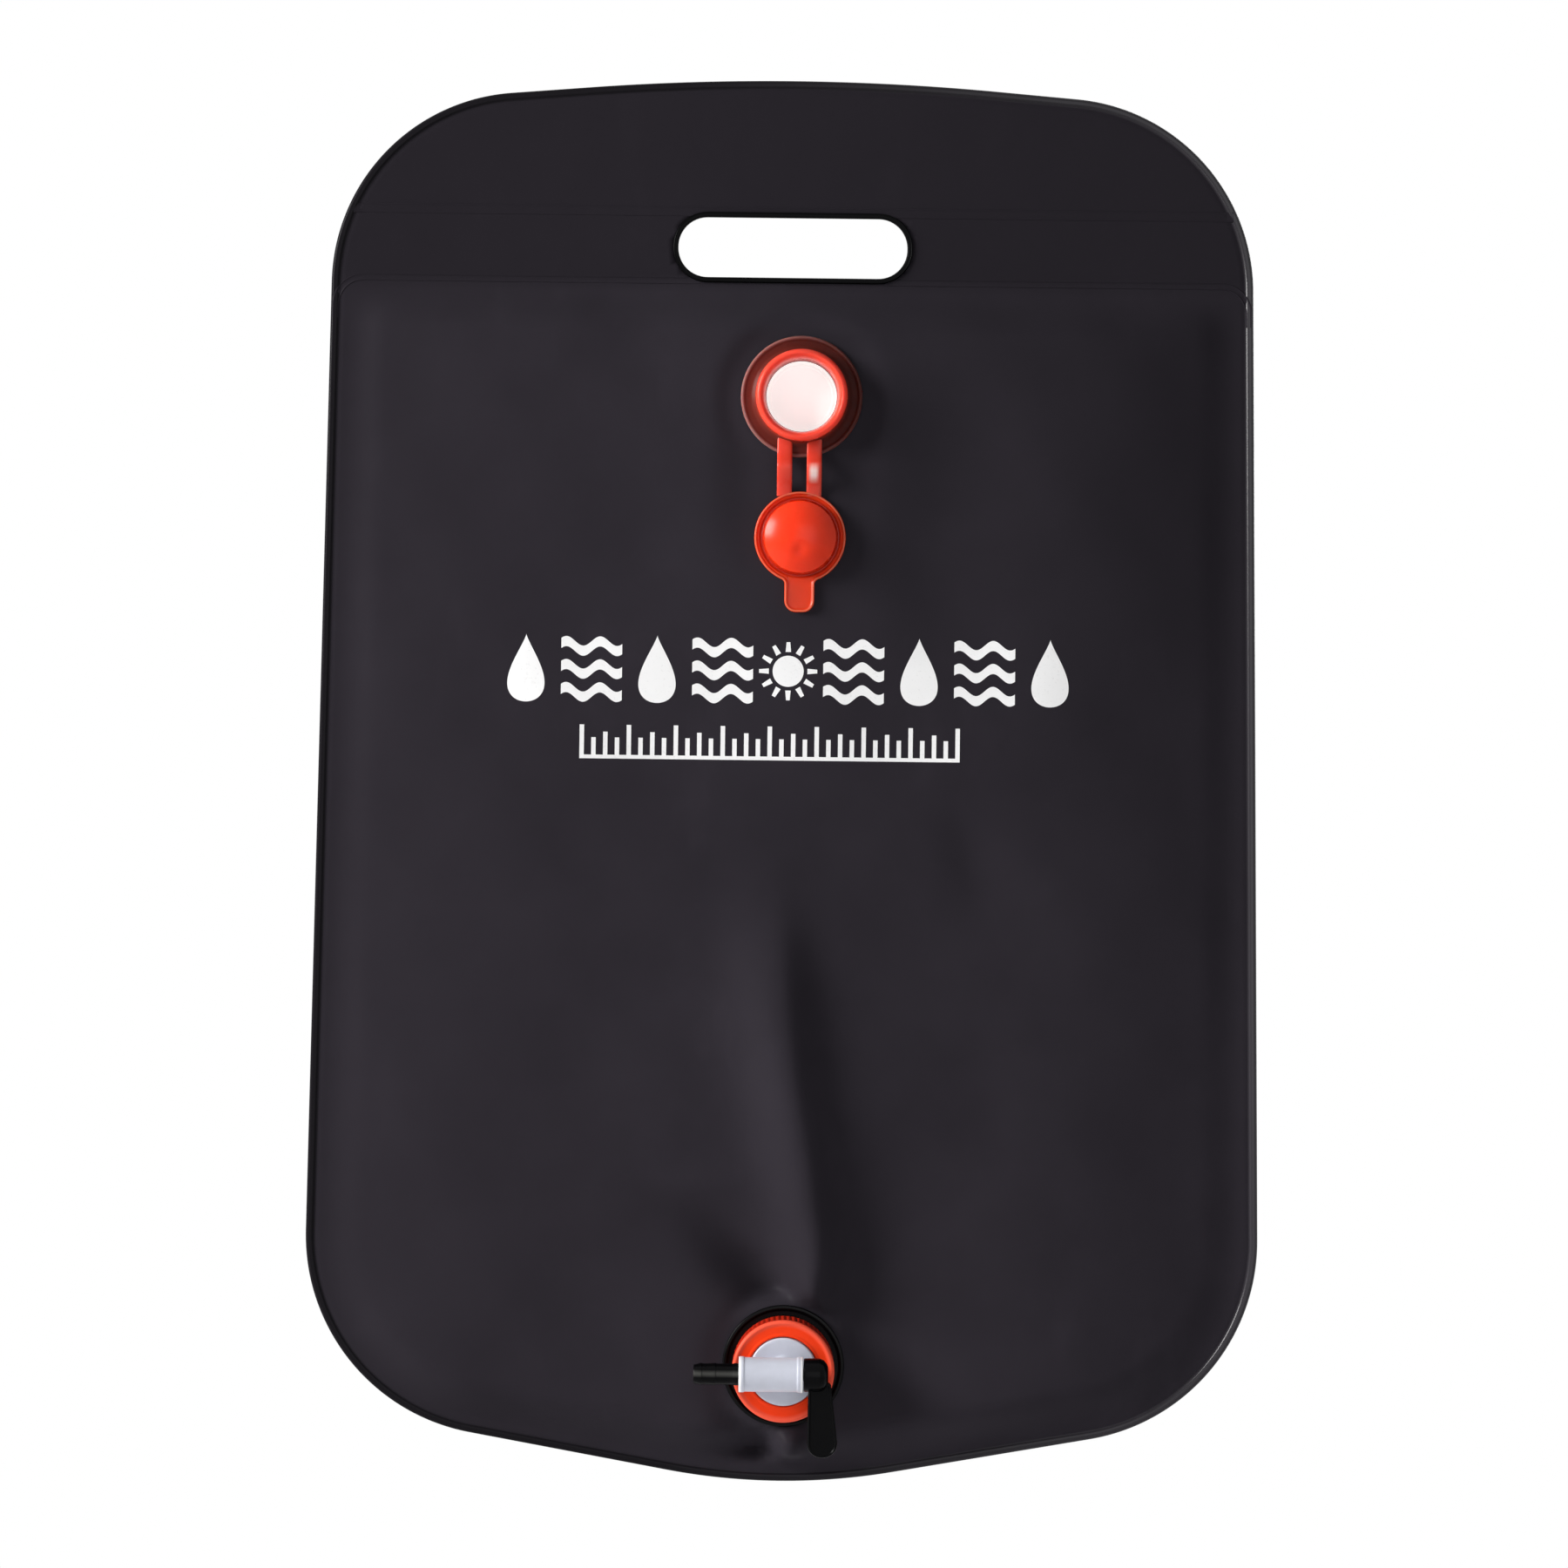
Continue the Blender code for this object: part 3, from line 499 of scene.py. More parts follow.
def evenly(dense, spacing):
    """Points evenly spaced along a closed line that is listed clockwise, and their outward normals."""
    dense = np.vstack([dense, dense[:1]])
    length = np.concatenate([[0], np.cumsum(np.hypot(*np.diff(dense, axis=0).T))])
    count = max(int(round(length[-1] / spacing)), 12)
    places = np.linspace(0, length[-1], count, endpoint=False)
    loop = points_of(*(np.interp(places, length, dense[:, axis]) for axis in (0, 1)))
    tangent = unit(np.roll(loop, -1, axis=0) - np.roll(loop, 1, axis=0))
    return loop, points_of(-tangent[:, 1], tangent[:, 0])


def section(half_width, half_height, power, steps):
    """A soft rectangle: a superellipse of (across, up) points with the given power."""
    around = circle(np.linspace(0, math.tau, steps, endpoint=False))
    return np.sign(around) * np.abs(around) ** (2 / power) * (half_width, half_height)


def slab(name, loop, normals, thick, edge, dish, y, finish):
    """A flat moulding: rings of an outline that round over its two edges and close over its faces.

    thick is half its thickness, edge the rounding's radius, dish how deep both faces sink inside the rounded
    border, and y the place of its middle.
    """
    turn = np.linspace(0, math.pi / 2, 5)
    centre = loop.mean(axis=0)
    border = loop - normals * (edge + dish)
    half = [(centre + (border - centre) * share, thick - dish) for share in (0.02, 0.35, 0.7, 0.9, 1)]
    half += [(loop - normals * edge * (1 - math.sin(a)), thick - edge * (1 - math.cos(a))) for a in turn]
    rings = [(ring, -depth) for ring, depth in half] + half[::-1]
    stack = [points_of(ring[:, 0], y + depth, ring[:, 1]) for ring, depth in rings]
    return shell(name, np.array(stack), finish, sharp=50)


def joined(target, tool, operation):
    """Cut or add a closed tool, and remove it."""
    change = target.modifiers.new(operation, "BOOLEAN")
    change.operation = operation
    change.solver = "EXACT"
    change.object = tool
    graph = bpy.context.evaluated_depsgraph_get()
    result = bpy.data.meshes.new_from_object(target.evaluated_get(graph))
    target.modifiers.clear()
    old, target.data = target.data, result
    bpy.data.meshes.remove(old)
    bpy.data.objects.remove(tool, do_unlink=True)
    result.shade_smooth()
    result.set_sharp_from_angle(angle=math.radians(35))


def solidify(piece, thickness):
    """Give a sheet its thickness, inwards from its outer face."""
    wall = piece.modifiers.new("Wall", "SOLIDIFY")
    wall.thickness = thickness
    wall.offset = -1
    wall.use_even_offset = False


def math_method(operation, reflected=False):
    """A method of Wire that adds a Math node for itself and another value, in that order or reflected."""

    def method(self, other):
        return self.maths(operation, other, self) if reflected else self.maths(operation, self, other)

    return method


class Wire:
    """A node's output that can be used in sums: each operator adds a Math node."""

    def __init__(self, finish, socket):
        self.finish = finish
        self.socket = socket

    def maths(self, operation, first, second):
        """A Math node of two values or wires."""
        return self.finish.node("ShaderNodeMath", {"operation": operation}, {0: first, 1: second})

    __add__, __radd__ = math_method("ADD"), math_method("ADD", reflected=True)
    __sub__, __rsub__ = math_method("SUBTRACT"), math_method("SUBTRACT", reflected=True)
    __mul__, __rmul__ = math_method("MULTIPLY"), math_method("MULTIPLY", reflected=True)
    __pow__ = math_method("POWER")


class Finish:
    """A material or world being wired, whose nodes are all made by one method."""

    def __init__(self, name, owner=None):
        self.owner = owner or bpy.data.materials.new(name)
        self.owner.use_nodes = True
        self.tree = self.owner.node_tree
        self.coordinates = None

    def node(self, kind, settings=None, values=None, output=0):
        """Add a node: its settings are set first, then its values or links."""
        made = self.tree.nodes.new(kind)
        for key, value in (settings or {}).items():
            setattr(made, key, value)
        for key, value in (values or {}).items():
            self.feed(made.inputs[key], value)
        return Wire(self, made.outputs[output])

    def feed(self, socket, value):
        """Link a wire to a socket, or set the socket's value."""
        if isinstance(value, Wire):
            self.tree.links.new(value.socket, socket)
        else:
            socket.default_value = value

    def place(self):
        """Object coordinates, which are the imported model's own metres."""
        if self.coordinates is None:
            self.coordinates = self.node("ShaderNodeTexCoord", output="Object")
        return self.coordinates

    def axis(self, name):
        """One of the coordinates."""
        return self.node("ShaderNodeSeparateXYZ", values={0: self.place()}, output=name)

    def height(self):
        """The height out of the front film."""
        return self.axis("Y") * -1.0

    def from_plane(self, name, place):
        """The distance to both sides of a place on an axis."""
        step = self.axis(name) - place
        return (step * step) ** 0.5

    def from_line(self, x, z):
        """The distance from a line along Y."""
        across = self.axis("X") - x
        up = self.axis("Z") - z
        return (across * across + up * up) ** 0.5

    def noise(self, scale, detail=2.0, stretch=None):
        """Noise from 0 to 1 with so many lumps to a metre, longer where the stretch is small."""
        place = self.place()
        if stretch:
            place = self.node("ShaderNodeMapping", values={"Vector": place, "Scale": stretch})
        return self.node("ShaderNodeTexNoise", values={"Vector": place, "Scale": scale, "Detail": detail})

    def ramp(self, value, low, high):
        """0 below low, 1 above high and straight between."""
        return self.node("ShaderNodeMapRange", values={"Value": value, "From Min": low, "From Max": high})

    def blend(self, first, second, share):
        """One colour into another."""
        return self.node("ShaderNodeMix", {"data_type": "RGBA"}, {0: share, 6: first, 7: second}, output=2)

    def bump(self, height, distance, strength=0.5, below=None):
        """A relief for the Normal socket, on top of another one."""
        values = {"Height": height, "Distance": distance, "Strength": strength}
        return self.node("ShaderNodeBump", values=values | ({"Normal": below} if below else {}))

    def surface(self, **sockets):
        """Set the Principled shader's sockets; underscores stand for spaces in their names."""
        shader = self.tree.nodes["Principled BSDF"]
        for key, value in sockets.items():
            self.feed(shader.inputs[key.replace("_", " ")], value)
        return self.owner


def tint(color, factor=1.0):
    """A colour of a property as four numbers, scaled."""
    return tuple(channel * factor for channel in color) + (1.0,)


def film_finish(color, grain):
    """Calendered film: near black, satin, with a fine grain, faint cloudiness and rougher, paler handling
    marks.

    The fused strip along the edge is smoother, and the film's own attribute says where it is. Painted shade
    darkens the film above the slot's seam, towards the left and at the upper right, and darkens the fused
    strip except towards the right.
    """
    finish = Finish("calendered_film")
    fused = finish.node("ShaderNodeAttribute", {"attribute_name": "fused"}, output="Fac")
    to_right = finish.ramp(finish.axis("X"), -0.05, 0.20)
    to_left = finish.ramp(finish.axis("X") * -1.0, 0.06, 0.16)
    head = finish.ramp(finish.axis("Z"), seam_z - 0.004, seam_z + 0.004)
    upper = finish.ramp(finish.axis("Z"), -0.36, -0.12)
    # Painted shade: the film is darker above the slot's seam, towards the left and at the upper right
    painted_shade = 1 - (1 - head * 0.62) * (1 - to_left * 0.42) * (1 - to_right * upper * 0.55)
    patches = finish.noise(55, 4)
    scuffs = finish.ramp(finish.noise(38, 6, (1, 1, 0.4)), 0.60, 0.80)
    shade = finish.ramp(finish.noise(9, 3) * 0.7 + patches * 0.3, 0.3, 0.7)
    base = finish.blend(tint(color, 0.88), tint(color, 1.12), shade)
    base = finish.blend(base, tint(color, 1.6), scuffs * 0.30)
    base = finish.blend(base, tint(color, 0.58), painted_shade)
    # Painted shade: the fused strip is darkened, except towards the right
    base = finish.blend(base, tint(color, 0.30), fused * (1 - to_right))
    rolled = finish.bump(finish.noise(220, 3, (1, 1, 0.25)), 0.00005)
    return finish.surface(
        Base_Color=base,
        Roughness=0.38 + patches * 0.08 + scuffs * 0.08 - fused * 0.10,
        Normal=finish.bump(finish.noise(1500, 2), grain, below=rolled),
        Specular_IOR_Level=0.02,
        Coat_Weight=fused * (0.05 + to_right * 0.45),
        Coat_Roughness=0.22,
    )


def ink_finish(color):
    """Screen-printed ink: chalky white, a little thin in specks."""
    finish = Finish("printed_ink")
    specks = finish.ramp(finish.noise(900, 3), 0.60, 0.72)
    cloud = finish.noise(120, 3)
    base = finish.blend(tint(color), tint(color, 0.72), specks * 0.35 + cloud * 0.12)
    normal = finish.bump(finish.noise(1300, 2), 0.00003)
    return finish.surface(Base_Color=base, Roughness=0.45 + cloud * 0.1, Normal=normal)


def vinyl_finish(name, color, toned, depth=0.0055):
    """Glossy translucent vinyl, whose colour and coat another function tones from place to place.

    The depth is how far light spreads inside it.
    """
    finish = Finish(name)
    cloud = finish.noise(160, 3)
    base, coat = toned(finish, finish.blend(tint(color, 0.92), tint(color, 1.06), cloud))
    return finish.surface(
        Base_Color=base,
        Roughness=0.24 + cloud * 0.06,
        Normal=finish.bump(finish.noise(420, 2), 0.00004, 0.35),
        Specular_IOR_Level=0.04,
        Coat_Weight=coat,
        Coat_Roughness=0.26,
        Subsurface_Weight=0.55,
        Subsurface_Scale=depth,
        Subsurface_Radius=(1.0, 0.20, 0.10),
    )


def plastic_finish(name, color, roughness, grain=0.00002, speck=0.12, toned=None, **uniform):
    """Moulded plastic: a fine spark-eroded grain and a slight unevenness of colour and gloss.

    Another function may tone its colour from place to place.
    """
    finish = Finish(name)
    cloud = finish.noise(240, 3)
    base = finish.blend(tint(color, 1 - speck), tint(color, 1 + speck), cloud)
    normal = finish.bump(finish.noise(2600, 2), grain)
    base = toned(finish, base) if toned else base
    return finish.surface(Base_Color=base, Roughness=roughness + cloud * 0.08, Normal=normal, **uniform)


def finish_off(piece, body, slot, *replaced):
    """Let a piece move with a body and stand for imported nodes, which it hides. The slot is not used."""
    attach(piece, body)
    if replaced:
        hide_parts(*replaced)


def color_property(name, description, default):
    """A linear colour that a user can change."""
    limits = {"subtype": "COLOR", "size": 3, "min": 0, "max": 1}
    return bpy.props.FloatVectorProperty(name=name, description=description, default=default, **limits)


def number_property(name, description, default, low=0, **kind):
    """A number that a user can change, with a unit or subtype where one fits."""
    return bpy.props.FloatProperty(name=name, description=description, default=default, min=low, **kind)


def length_property(name, description, default, low=0):
    """A length in metres that a user can change."""
    return number_property(name, description, default, low, unit="LENGTH", precision=5)


class FilmSettings(bpy.types.PropertyGroup):
    """Sizes and colours of the films, their welds and print."""

    color: color_property("Film Colour", "Linear colour of the black film", (0.0250, 0.0218, 0.0277))
    grain: length_property("Grain", "Depth of the film's fine grain", 0.00003)
    band_width: length_property(
        "Seam Band Width", "Width of the pressed band that closes the chamber's top", 0.0030, 0.001
    )
    head_band: length_property(
        "Head Band Width", "Width of the pressed band above the hand slot", 0.0046, 0.001
    )
    band_height: length_property(
        "Weld Band Height", "How far the edges of a weld band stand out of the film", 0.00022
    )
    ink_color: color_property("Print Colour", "Linear colour of the printed marks", (0.88, 0.88, 0.88))
    mark_height: length_property("Mark Height", "Height of the row of printed marks", 0.0288, 0.005)
    row_width: length_property("Row Width", "Width of the row of printed marks", 0.252, 0.05)
    scale_width: length_property("Scale Width", "Width of the printed scale under the marks", 0.160, 0.05)


class FittingSettings(bpy.types.PropertyGroup):
    """Colours and mouldings of the filler, the plug and the tap."""

    vinyl_color: color_property("Filler Colour", "Linear colour of the neck and straps", (0.88, 0.068, 0.038))
    plug_color: color_property("Plug Colour", "Linear colour of the filler's plug", (0.90, 0.038, 0.005))
    flange_color: color_property(
        "Flange Colour", "Linear colour of the thin flange with the film behind it", (0.112, 0.017, 0.012)
    )
    flap_color: color_property("Flap Colour", "Linear colour of the one-way flap", (0.95, 0.93, 0.91))
    collar_color: color_property("Collar Colour", "Linear colour of the screw collar", (0.94, 0.050, 0.008))
    tap_color: color_property("Tap Colour", "Linear colour of the tap body", (0.58, 0.60, 0.68))
    black_color: color_property(
        "Black Mouldings", "Linear colour of lever, nipple, flange and rim", (0.0020, 0.0020, 0.0023)
    )
    grip_ribs: bpy.props.IntProperty(
        name="Grip Ribs", description="Number of ribs round the collar's skirt", default=60, min=0
    )
    rib_depth: length_property("Rib Depth", "Depth of the grooves between the collar's ribs", 0.00045)


class StageSettings(bpy.types.PropertyGroup):
    """The floor, the lamps and the camera."""

    floor_drop: length_property("Floor Drop", "How far under the bag's tip the floor lies", 0.16, 0.01)
    camera_distance: length_property(
        "Camera Distance", "How far in front of the bag the camera stands", 1.867, 0.5
    )
    camera_lens: number_property("Lens", "Focal length of the camera in millimetres", 100, 10)
    camera_roll: number_property(
        "Roll", "How far the camera is turned about its axis", math.radians(0.666), -math.pi, subtype="ANGLE"
    )
    key_power: number_property("Key Lamp", "Power of the large lamp at the upper left, in watts", 75)
    fill_power: number_property("Fill Lamp", "Power of the wide lamp at the right, in watts", 7.0)
    sky: number_property("Sky", "Strength of the world's even light", 0.13)


class SHOWER_OT_films(bpy.types.Operator):
    """Build the front and back films as one grid each, with their holes, folds and fused edge"""

    bl_idname = "shower.films"
    bl_label = "Films"

    def execute(self, context):
        settings = context.scene.shower_film
        finish = film_finish(settings.color, settings.grain)
        neck_bore, outlet_bore, slot_corner, rim_tuck = 0.0158, 0.0123, 0.0136, 0.0012
        slot_size = (rim_box[1, 0] - rim_tuck, half_span(rim_box, 2) - rim_tuck, slot_corner)
        slot = (0, rim_box[:, 2].mean(), *slot_size)
        neck = (neck_x, neck_z, neck_bore, neck_bore, neck_bore)
        outlet = (tap_x, tap_z, outlet_bore, outlet_bore, outlet_bore)
        self.film("front_film", -1, front_height, (slot, neck, outlet), finish, "front_panel")
        self.film("back_film", 1, back_height, (slot,), finish, "back_panel")
        return {"FINISHED"}

    def film(self, name, side, height, holes, finish, node):
        """One film: the grid less the faces in its holes, whose edges are drawn onto the holes' outlines."""
        x, z = outline.grid()
        faces = quads(*x.shape)
        x, z = x.ravel(), z.ravel()
        for hole in holes:
            inside = to_hole(x[faces].mean(axis=1), z[faces].mean(axis=1), hole)[0] < 0
            edge = np.intersect1d(faces[inside], faces[~inside])
            x[edge], z[edge] = to_hole(x[edge], z[edge], hole)[1:]
            faces = faces[~inside]
        used, faces = np.unique(faces, return_inverse=True)
        faces = faces.reshape(-1, 4)[:, ::side]
        x, z = x[used], z[used]
        points = points_of(x, side * height(x, z), z)
        piece = make_object(name, points, faces.tolist(), finish, sharp=60)
        fused = piece.data.attributes.new("fused", "FLOAT", "POINT")
        full_strip = 0.0030
        fused.data.foreach_set("value", 1 - smooth(outline.inset(x, z), full_strip, strip_width))
        solidify(piece, film_thickness)
        finish_off(piece, "bag", "film", node)


class SHOWER_OT_weld_bands(bpy.types.Operator):
    """Press two weld bands across both films, level with the hand slot's edges"""

    bl_idname = "shower.weld_bands"
    bl_label = "Weld Bands"

    def execute(self, context):
        settings = context.scene.shower_film
        finish = film_finish(settings.color, settings.grain)
        strip_middle, turn_radius, head_middle, band_tuck = 0.0022, 0.0115, 0.0025, 0.0002
        seam = self.seam_path(seam_z + settings.band_width / 2 - band_tuck, strip_middle, turn_radius)
        drop = head_middle - outline.shoulder[1]
        reach = outline.shoulder[0] + math.sqrt((shoulder_radius - strip_middle) ** 2 - drop**2)
        head = points_of(np.linspace(-reach, reach, 150), head_middle)
        bands = (("seam", seam, settings.band_width), ("head", head, settings.head_band))
        for word, side, height in (("front", -1, front_height), ("back", 1, back_height)):
            for part, path, width in bands:
                x, z, lift = self.band(path, width, settings.band_height)
                rings = points_of(x, side * (height(x, z) + lift), z)
                finish_off(shell(f"{word}_{part}_weld", rings, finish), "bag", "film")
        return {"FINISHED"}

    def seam_path(self, middle, strip_middle, radius):
        """A line across the bag whose two ends turn down on quarter arcs and run on in the edge strip."""
        level_steps = 75
        low = middle - radius
        side = (outline.side[2] - outline.side[1] * low) / outline.side[0] - strip_middle
        angle = np.linspace(0, math.pi / 2, 16)
        tail = np.linspace(0.006, 0.001, 4)
        arc_x = side - radius + radius * np.cos(angle)
        level_x = np.linspace(side - radius, 0, level_steps + 1)[1:]
        x = np.concatenate([side + tail * outline.side[1], arc_x, level_x])
        z = np.concatenate([low - tail, low + radius * np.sin(angle), np.full(level_steps, middle)])
        return points_of(np.concatenate([-x, x[-2::-1]]), np.concatenate([z, z[-2::-1]]))

    def band(self, path, width, lift):
        """A flat strip with two raised edges: x, z and lift over the film, at shares of its width."""
        shares = np.array((-1, -0.92, -0.80, -0.66, -0.5, 0.5, 0.66, 0.80, 0.92, 1, 0.8, -0.8)) / 2
        lifts = np.array((-0.5, 0.6, 1, 0.45, 0.12, 0.12, 0.45, 1, 0.6, -0.5, -0.9, -0.9))
        along = unit(np.gradient(path, axis=0))
        x = path[:, :1] - along[:, 1:] * shares * width
        z = path[:, 1:] + along[:, :1] * shares * width
        return x, z, lifts * lift


class SHOWER_OT_print(bpy.types.Operator):
    """Print a row of plain marks and a plain scale on the front film"""

    bl_idname = "shower.print"
    bl_label = "Printed Marks"

    def execute(self, context):
        settings = context.scene.shower_film
        row_z, ink = -0.1945, 0.00006
        half = settings.mark_height / 2
        marks = (self.drop, self.waves) * 2 + (self.sun,) + (self.waves, self.drop) * 2
        places = np.linspace(-1, 1, len(marks)) * (settings.row_width - settings.mark_height) / 2
        sheets = [(x + place, z + row_z) for mark, place in zip(marks, places) for x, z in mark(half)]
        points, faces, count = [], [], 0
        for x, z in sheets + self.scale(settings.scale_width):
            x, z = np.broadcast_arrays(x, z)
            points.append(points_of(x, -front_height(x, z) - ink, z).reshape(-1, 3))
            faces.append(quads(*x.shape) + count)
            count += x.size
        points, faces = np.vstack(points), np.vstack(faces)
        a, b, c, d = (points[faces[:, k]] for k in range(4))
        facing_back = np.cross(c - a, d - b)[:, 1] > 0
        faces[facing_back] = faces[facing_back][:, ::-1]
        piece = make_object("printed_marks", points, faces.tolist(), ink_finish(settings.ink_color))
        piece.data.shade_flat()
        solidify(piece, ink)
        finish_off(piece, "bag", "film")
        return {"FINISHED"}

    def filled(self, widths, levels):
        """A sheet of rows at given levels, each drawn out to both sides by its own width."""
        return widths[:, None] * np.linspace(-1, 1, 7), levels[:, None]

    def drop(self, half):
        """A water drop: across goes the sine of the angle times a power of its half's sine, up the cosine."""
        angle = np.linspace(0.08, math.pi - 0.04, 49)
        width = 0.80 * half * np.sin(angle) * np.sin(angle / 2) ** 1.6
        return [self.filled(width, half * (np.cos(angle) + 0.02))]

    def waves(self, half):
        """Three waved bars: strips whose middle line is a sine along x."""
        along = np.linspace(-0.90, 0.90, 49)[:, None] * half
        across = np.linspace(-0.5, 0.5, 4)[None, :] * 0.30 * half
        swing = 0.14 * half * np.sin(along / half * math.tau)
        return [(along, level * half + swing + across) for level in (-0.68, 0, 0.68)]

    def sun(self, half):
        """A disc and twelve rays: tapered strips that point outwards."""
        angle = np.linspace(0.04, math.pi - 0.04, 33)
        out = np.linspace(0.57, 0.86, 4)[:, None] * half
        across = np.linspace(-0.5, 0.5, 3)[None, :] * (0.16 - 0.05 * (out / half - 0.57) / 0.29) * half
        rays = [
            (out * math.cos(turn) - across * math.sin(turn), out * math.sin(turn) + across * math.cos(turn))
            for turn in np.arange(12) * math.tau / 12
        ]
        return [self.filled(0.46 * half * np.sin(angle), 0.46 * half * np.cos(angle)), *rays]

    def scale(self, width):
        """A rule: a base line under strokes, of which each fourth is long and each other one short."""
        middle, low, strokes, base_height, stroke_width = -0.0075, -0.2325, 33, 0.0016, 0.0019
        lengths = np.where(np.arange(strokes) % 4 == 0, 0.0128, 0.0074)
        lengths[2::4] = 0.0098
        along = np.linspace(-0.5, 0.5, 60)[:, None] * (width + stroke_width)
        across = np.array([[-0.5, 0.5]]) * stroke_width
        sheets = [(middle + along, low + np.array([[0, base_height]]))]
        for stroke, length in zip(np.linspace(-0.5, 0.5, strokes) * width, lengths):
            up = np.linspace(base_height, base_height + length, 6)[:, None]
            sheets.append((middle + stroke + across, low + up))
        return sheets


class SHOWER_OT_handle_rim(bpy.types.Operator):
    """Run the moulded rim round the hand slot: a soft section with a raised lip, carried round a loop"""

    bl_idname = "shower.handle_rim"
    bl_label = "Handle Rim"

    def execute(self, context):
        settings = context.scene.shower_fitting
        finish = plastic_finish("rim_plastic", settings.black_color, 0.28, Specular_IOR_Level=0.04)
        width, thick = rim_box[1, 2], rim_box[1, 1]
        half = rim_box[1, 0] - width
        low = rim_box[0, 2] + width
        slot_radius, spacing, lip_height, lip_width = 0.0124, 0.0016, 0.00035, 0.0003
        lip_share, thick_share = 0.34, 0.84
        corners = ((-half, 0), (half, 0), (half, low), (-half, low))
        loop, normals = rounded_loop(corners, (slot_radius,) * 4, spacing)
        bar = section(width / 2, thick, 3.2, 28)
        from_lip = (bar[:, 0] - lip_share * width) / lip_width
        lip = lip_height * np.exp(-(from_lip**2)) * np.sign(bar[:, 1])
        bar = points_of(bar[:, 0] + width / 2, bar[:, 1] * thick_share + lip)
        upright = np.array(((1, 0, 0), (0, 0, 1)))
        back = np.array((0, 1, 0))
        piece = carried("slot_rim", loop @ upright, normals @ upright, back, bar, finish, ring_shaped=True)
        finish_off(piece, "bag", "rim", "handle_rim")
        return {"FINISHED"}


class SHOWER_OT_filler(bpy.types.Operator):
    """Turn the filler's neck with its flange and thick lip, and the flap that shows through its bore"""

    bl_idname = "shower.filler"
    bl_label = "Filler Neck"

    def execute(self, context):
        settings = context.scene.shower_fitting
        foot, top = heights(neck_box)
        flange = half_span(neck_box)
        flange_top = foot + 0.0012

        def flange_with_painted_light(finish, base):
            """The thin flange shows the black film behind it. Painted shade darkens it towards the right, and a
            painted highlight makes its border paler on the left.
            """
            deep = settings.flange_color
            raised = finish.ramp(finish.height(), foot + 0.0016, foot + 0.0075)
            across = finish.ramp(finish.axis("X"), neck_x - 0.021, neck_x + 0.019)
            uneven = finish.ramp(finish.noise(90, 4), 0.30, 0.75)
            # Painted shade: darker towards the right, with a little random unevenness
            thin = finish.blend(tint(deep, 1.35), tint(deep, 0.40), across * 0.8 + uneven * 0.2)
            border = finish.ramp(finish.from_line(neck_x, neck_z), 0.0241, 0.0250)
            # Painted highlight: a paler border, strongest on the left
            thin = finish.blend(thin, (0.30, 0.15, 0.14, 1), border * (0.75 - across * 0.62))
            return finish.blend(thin, base, raised), raised * 0.30

        finish = vinyl_finish("filler_vinyl", settings.vinyl_color, flange_with_painted_light)
        profile = (
            near(0, foot, (15, 0)),
            near(flange, foot, (-0.5, 0), (0, 0.6)),
            near(flange, flange_top, (-0.6, 0.2), (-1.3, 0.2), (-2.1, -0.3)),
            near(0, flange_top, (21.6, -0.2), (20.6, 0.4), (19.4, 1.2)),
            near(0, top, (18.7, -4.6), (19.5, -3.6), (19.5, -1.8), (18.9, -0.7), (18.2, -0.1), (17.4, 0)),
            near(0, top, (16.6, -1), (16.1, -2), (15.7, -4), (15.6, -5.6)),
            near(0, foot, (14.9, 2)),
        )
        neck = turned("filler_collar", profile, 0.0012, neck_place, finish, closed=True, steps=5)
        finish_off(neck, "bag", "filler_vinyl", "filler_neck")
        self.flap(settings)
        return {"FINISHED"}

    def flap(self, settings):
        """A disc whose top is cut off along the hinge line, with a thin moulded ring near its edge."""
        # Painted light: the flap glows with its own colour, which keeps it bright deep in the neck's shaded
        # bore
        glow = {"Emission_Color": tint(settings.flap_color), "Emission_Strength": 0.56}
        finish = plastic_finish("flap_vinyl", settings.flap_color, 0.38, speck=0.03, **glow)
        radius = half_span(flap_box)
        back, front = heights(flap_box)
        hinge = flap_box[1, 2] - neck_z
        profile = (
            near(0, back, (0.4, 0)),
            near(radius, back, (0, 0)),
            near(radius, front, (0, 0)),
            near(0, front, (14.3, 0), (13.9, 0.25), (13.3, 0.25), (12.9, 0), (7, 0.1), (0.4, 0.15)),
        )

        def cut_top(radii, height, angles):
            """Upwards no radius passes the hinge line, at its height over the sine of the angle."""
            reach = hinge / np.maximum(np.sin(angles), 1e-6) + 10 * (np.sin(angles) <= 0.1)
            return np.minimum(radii, reach), height

        flap = turned("flap_disc", profile, 0.0002, neck_place, finish, shape=cut_top)
        finish_off(flap, "flap", "valve_vinyl", "check_flap")


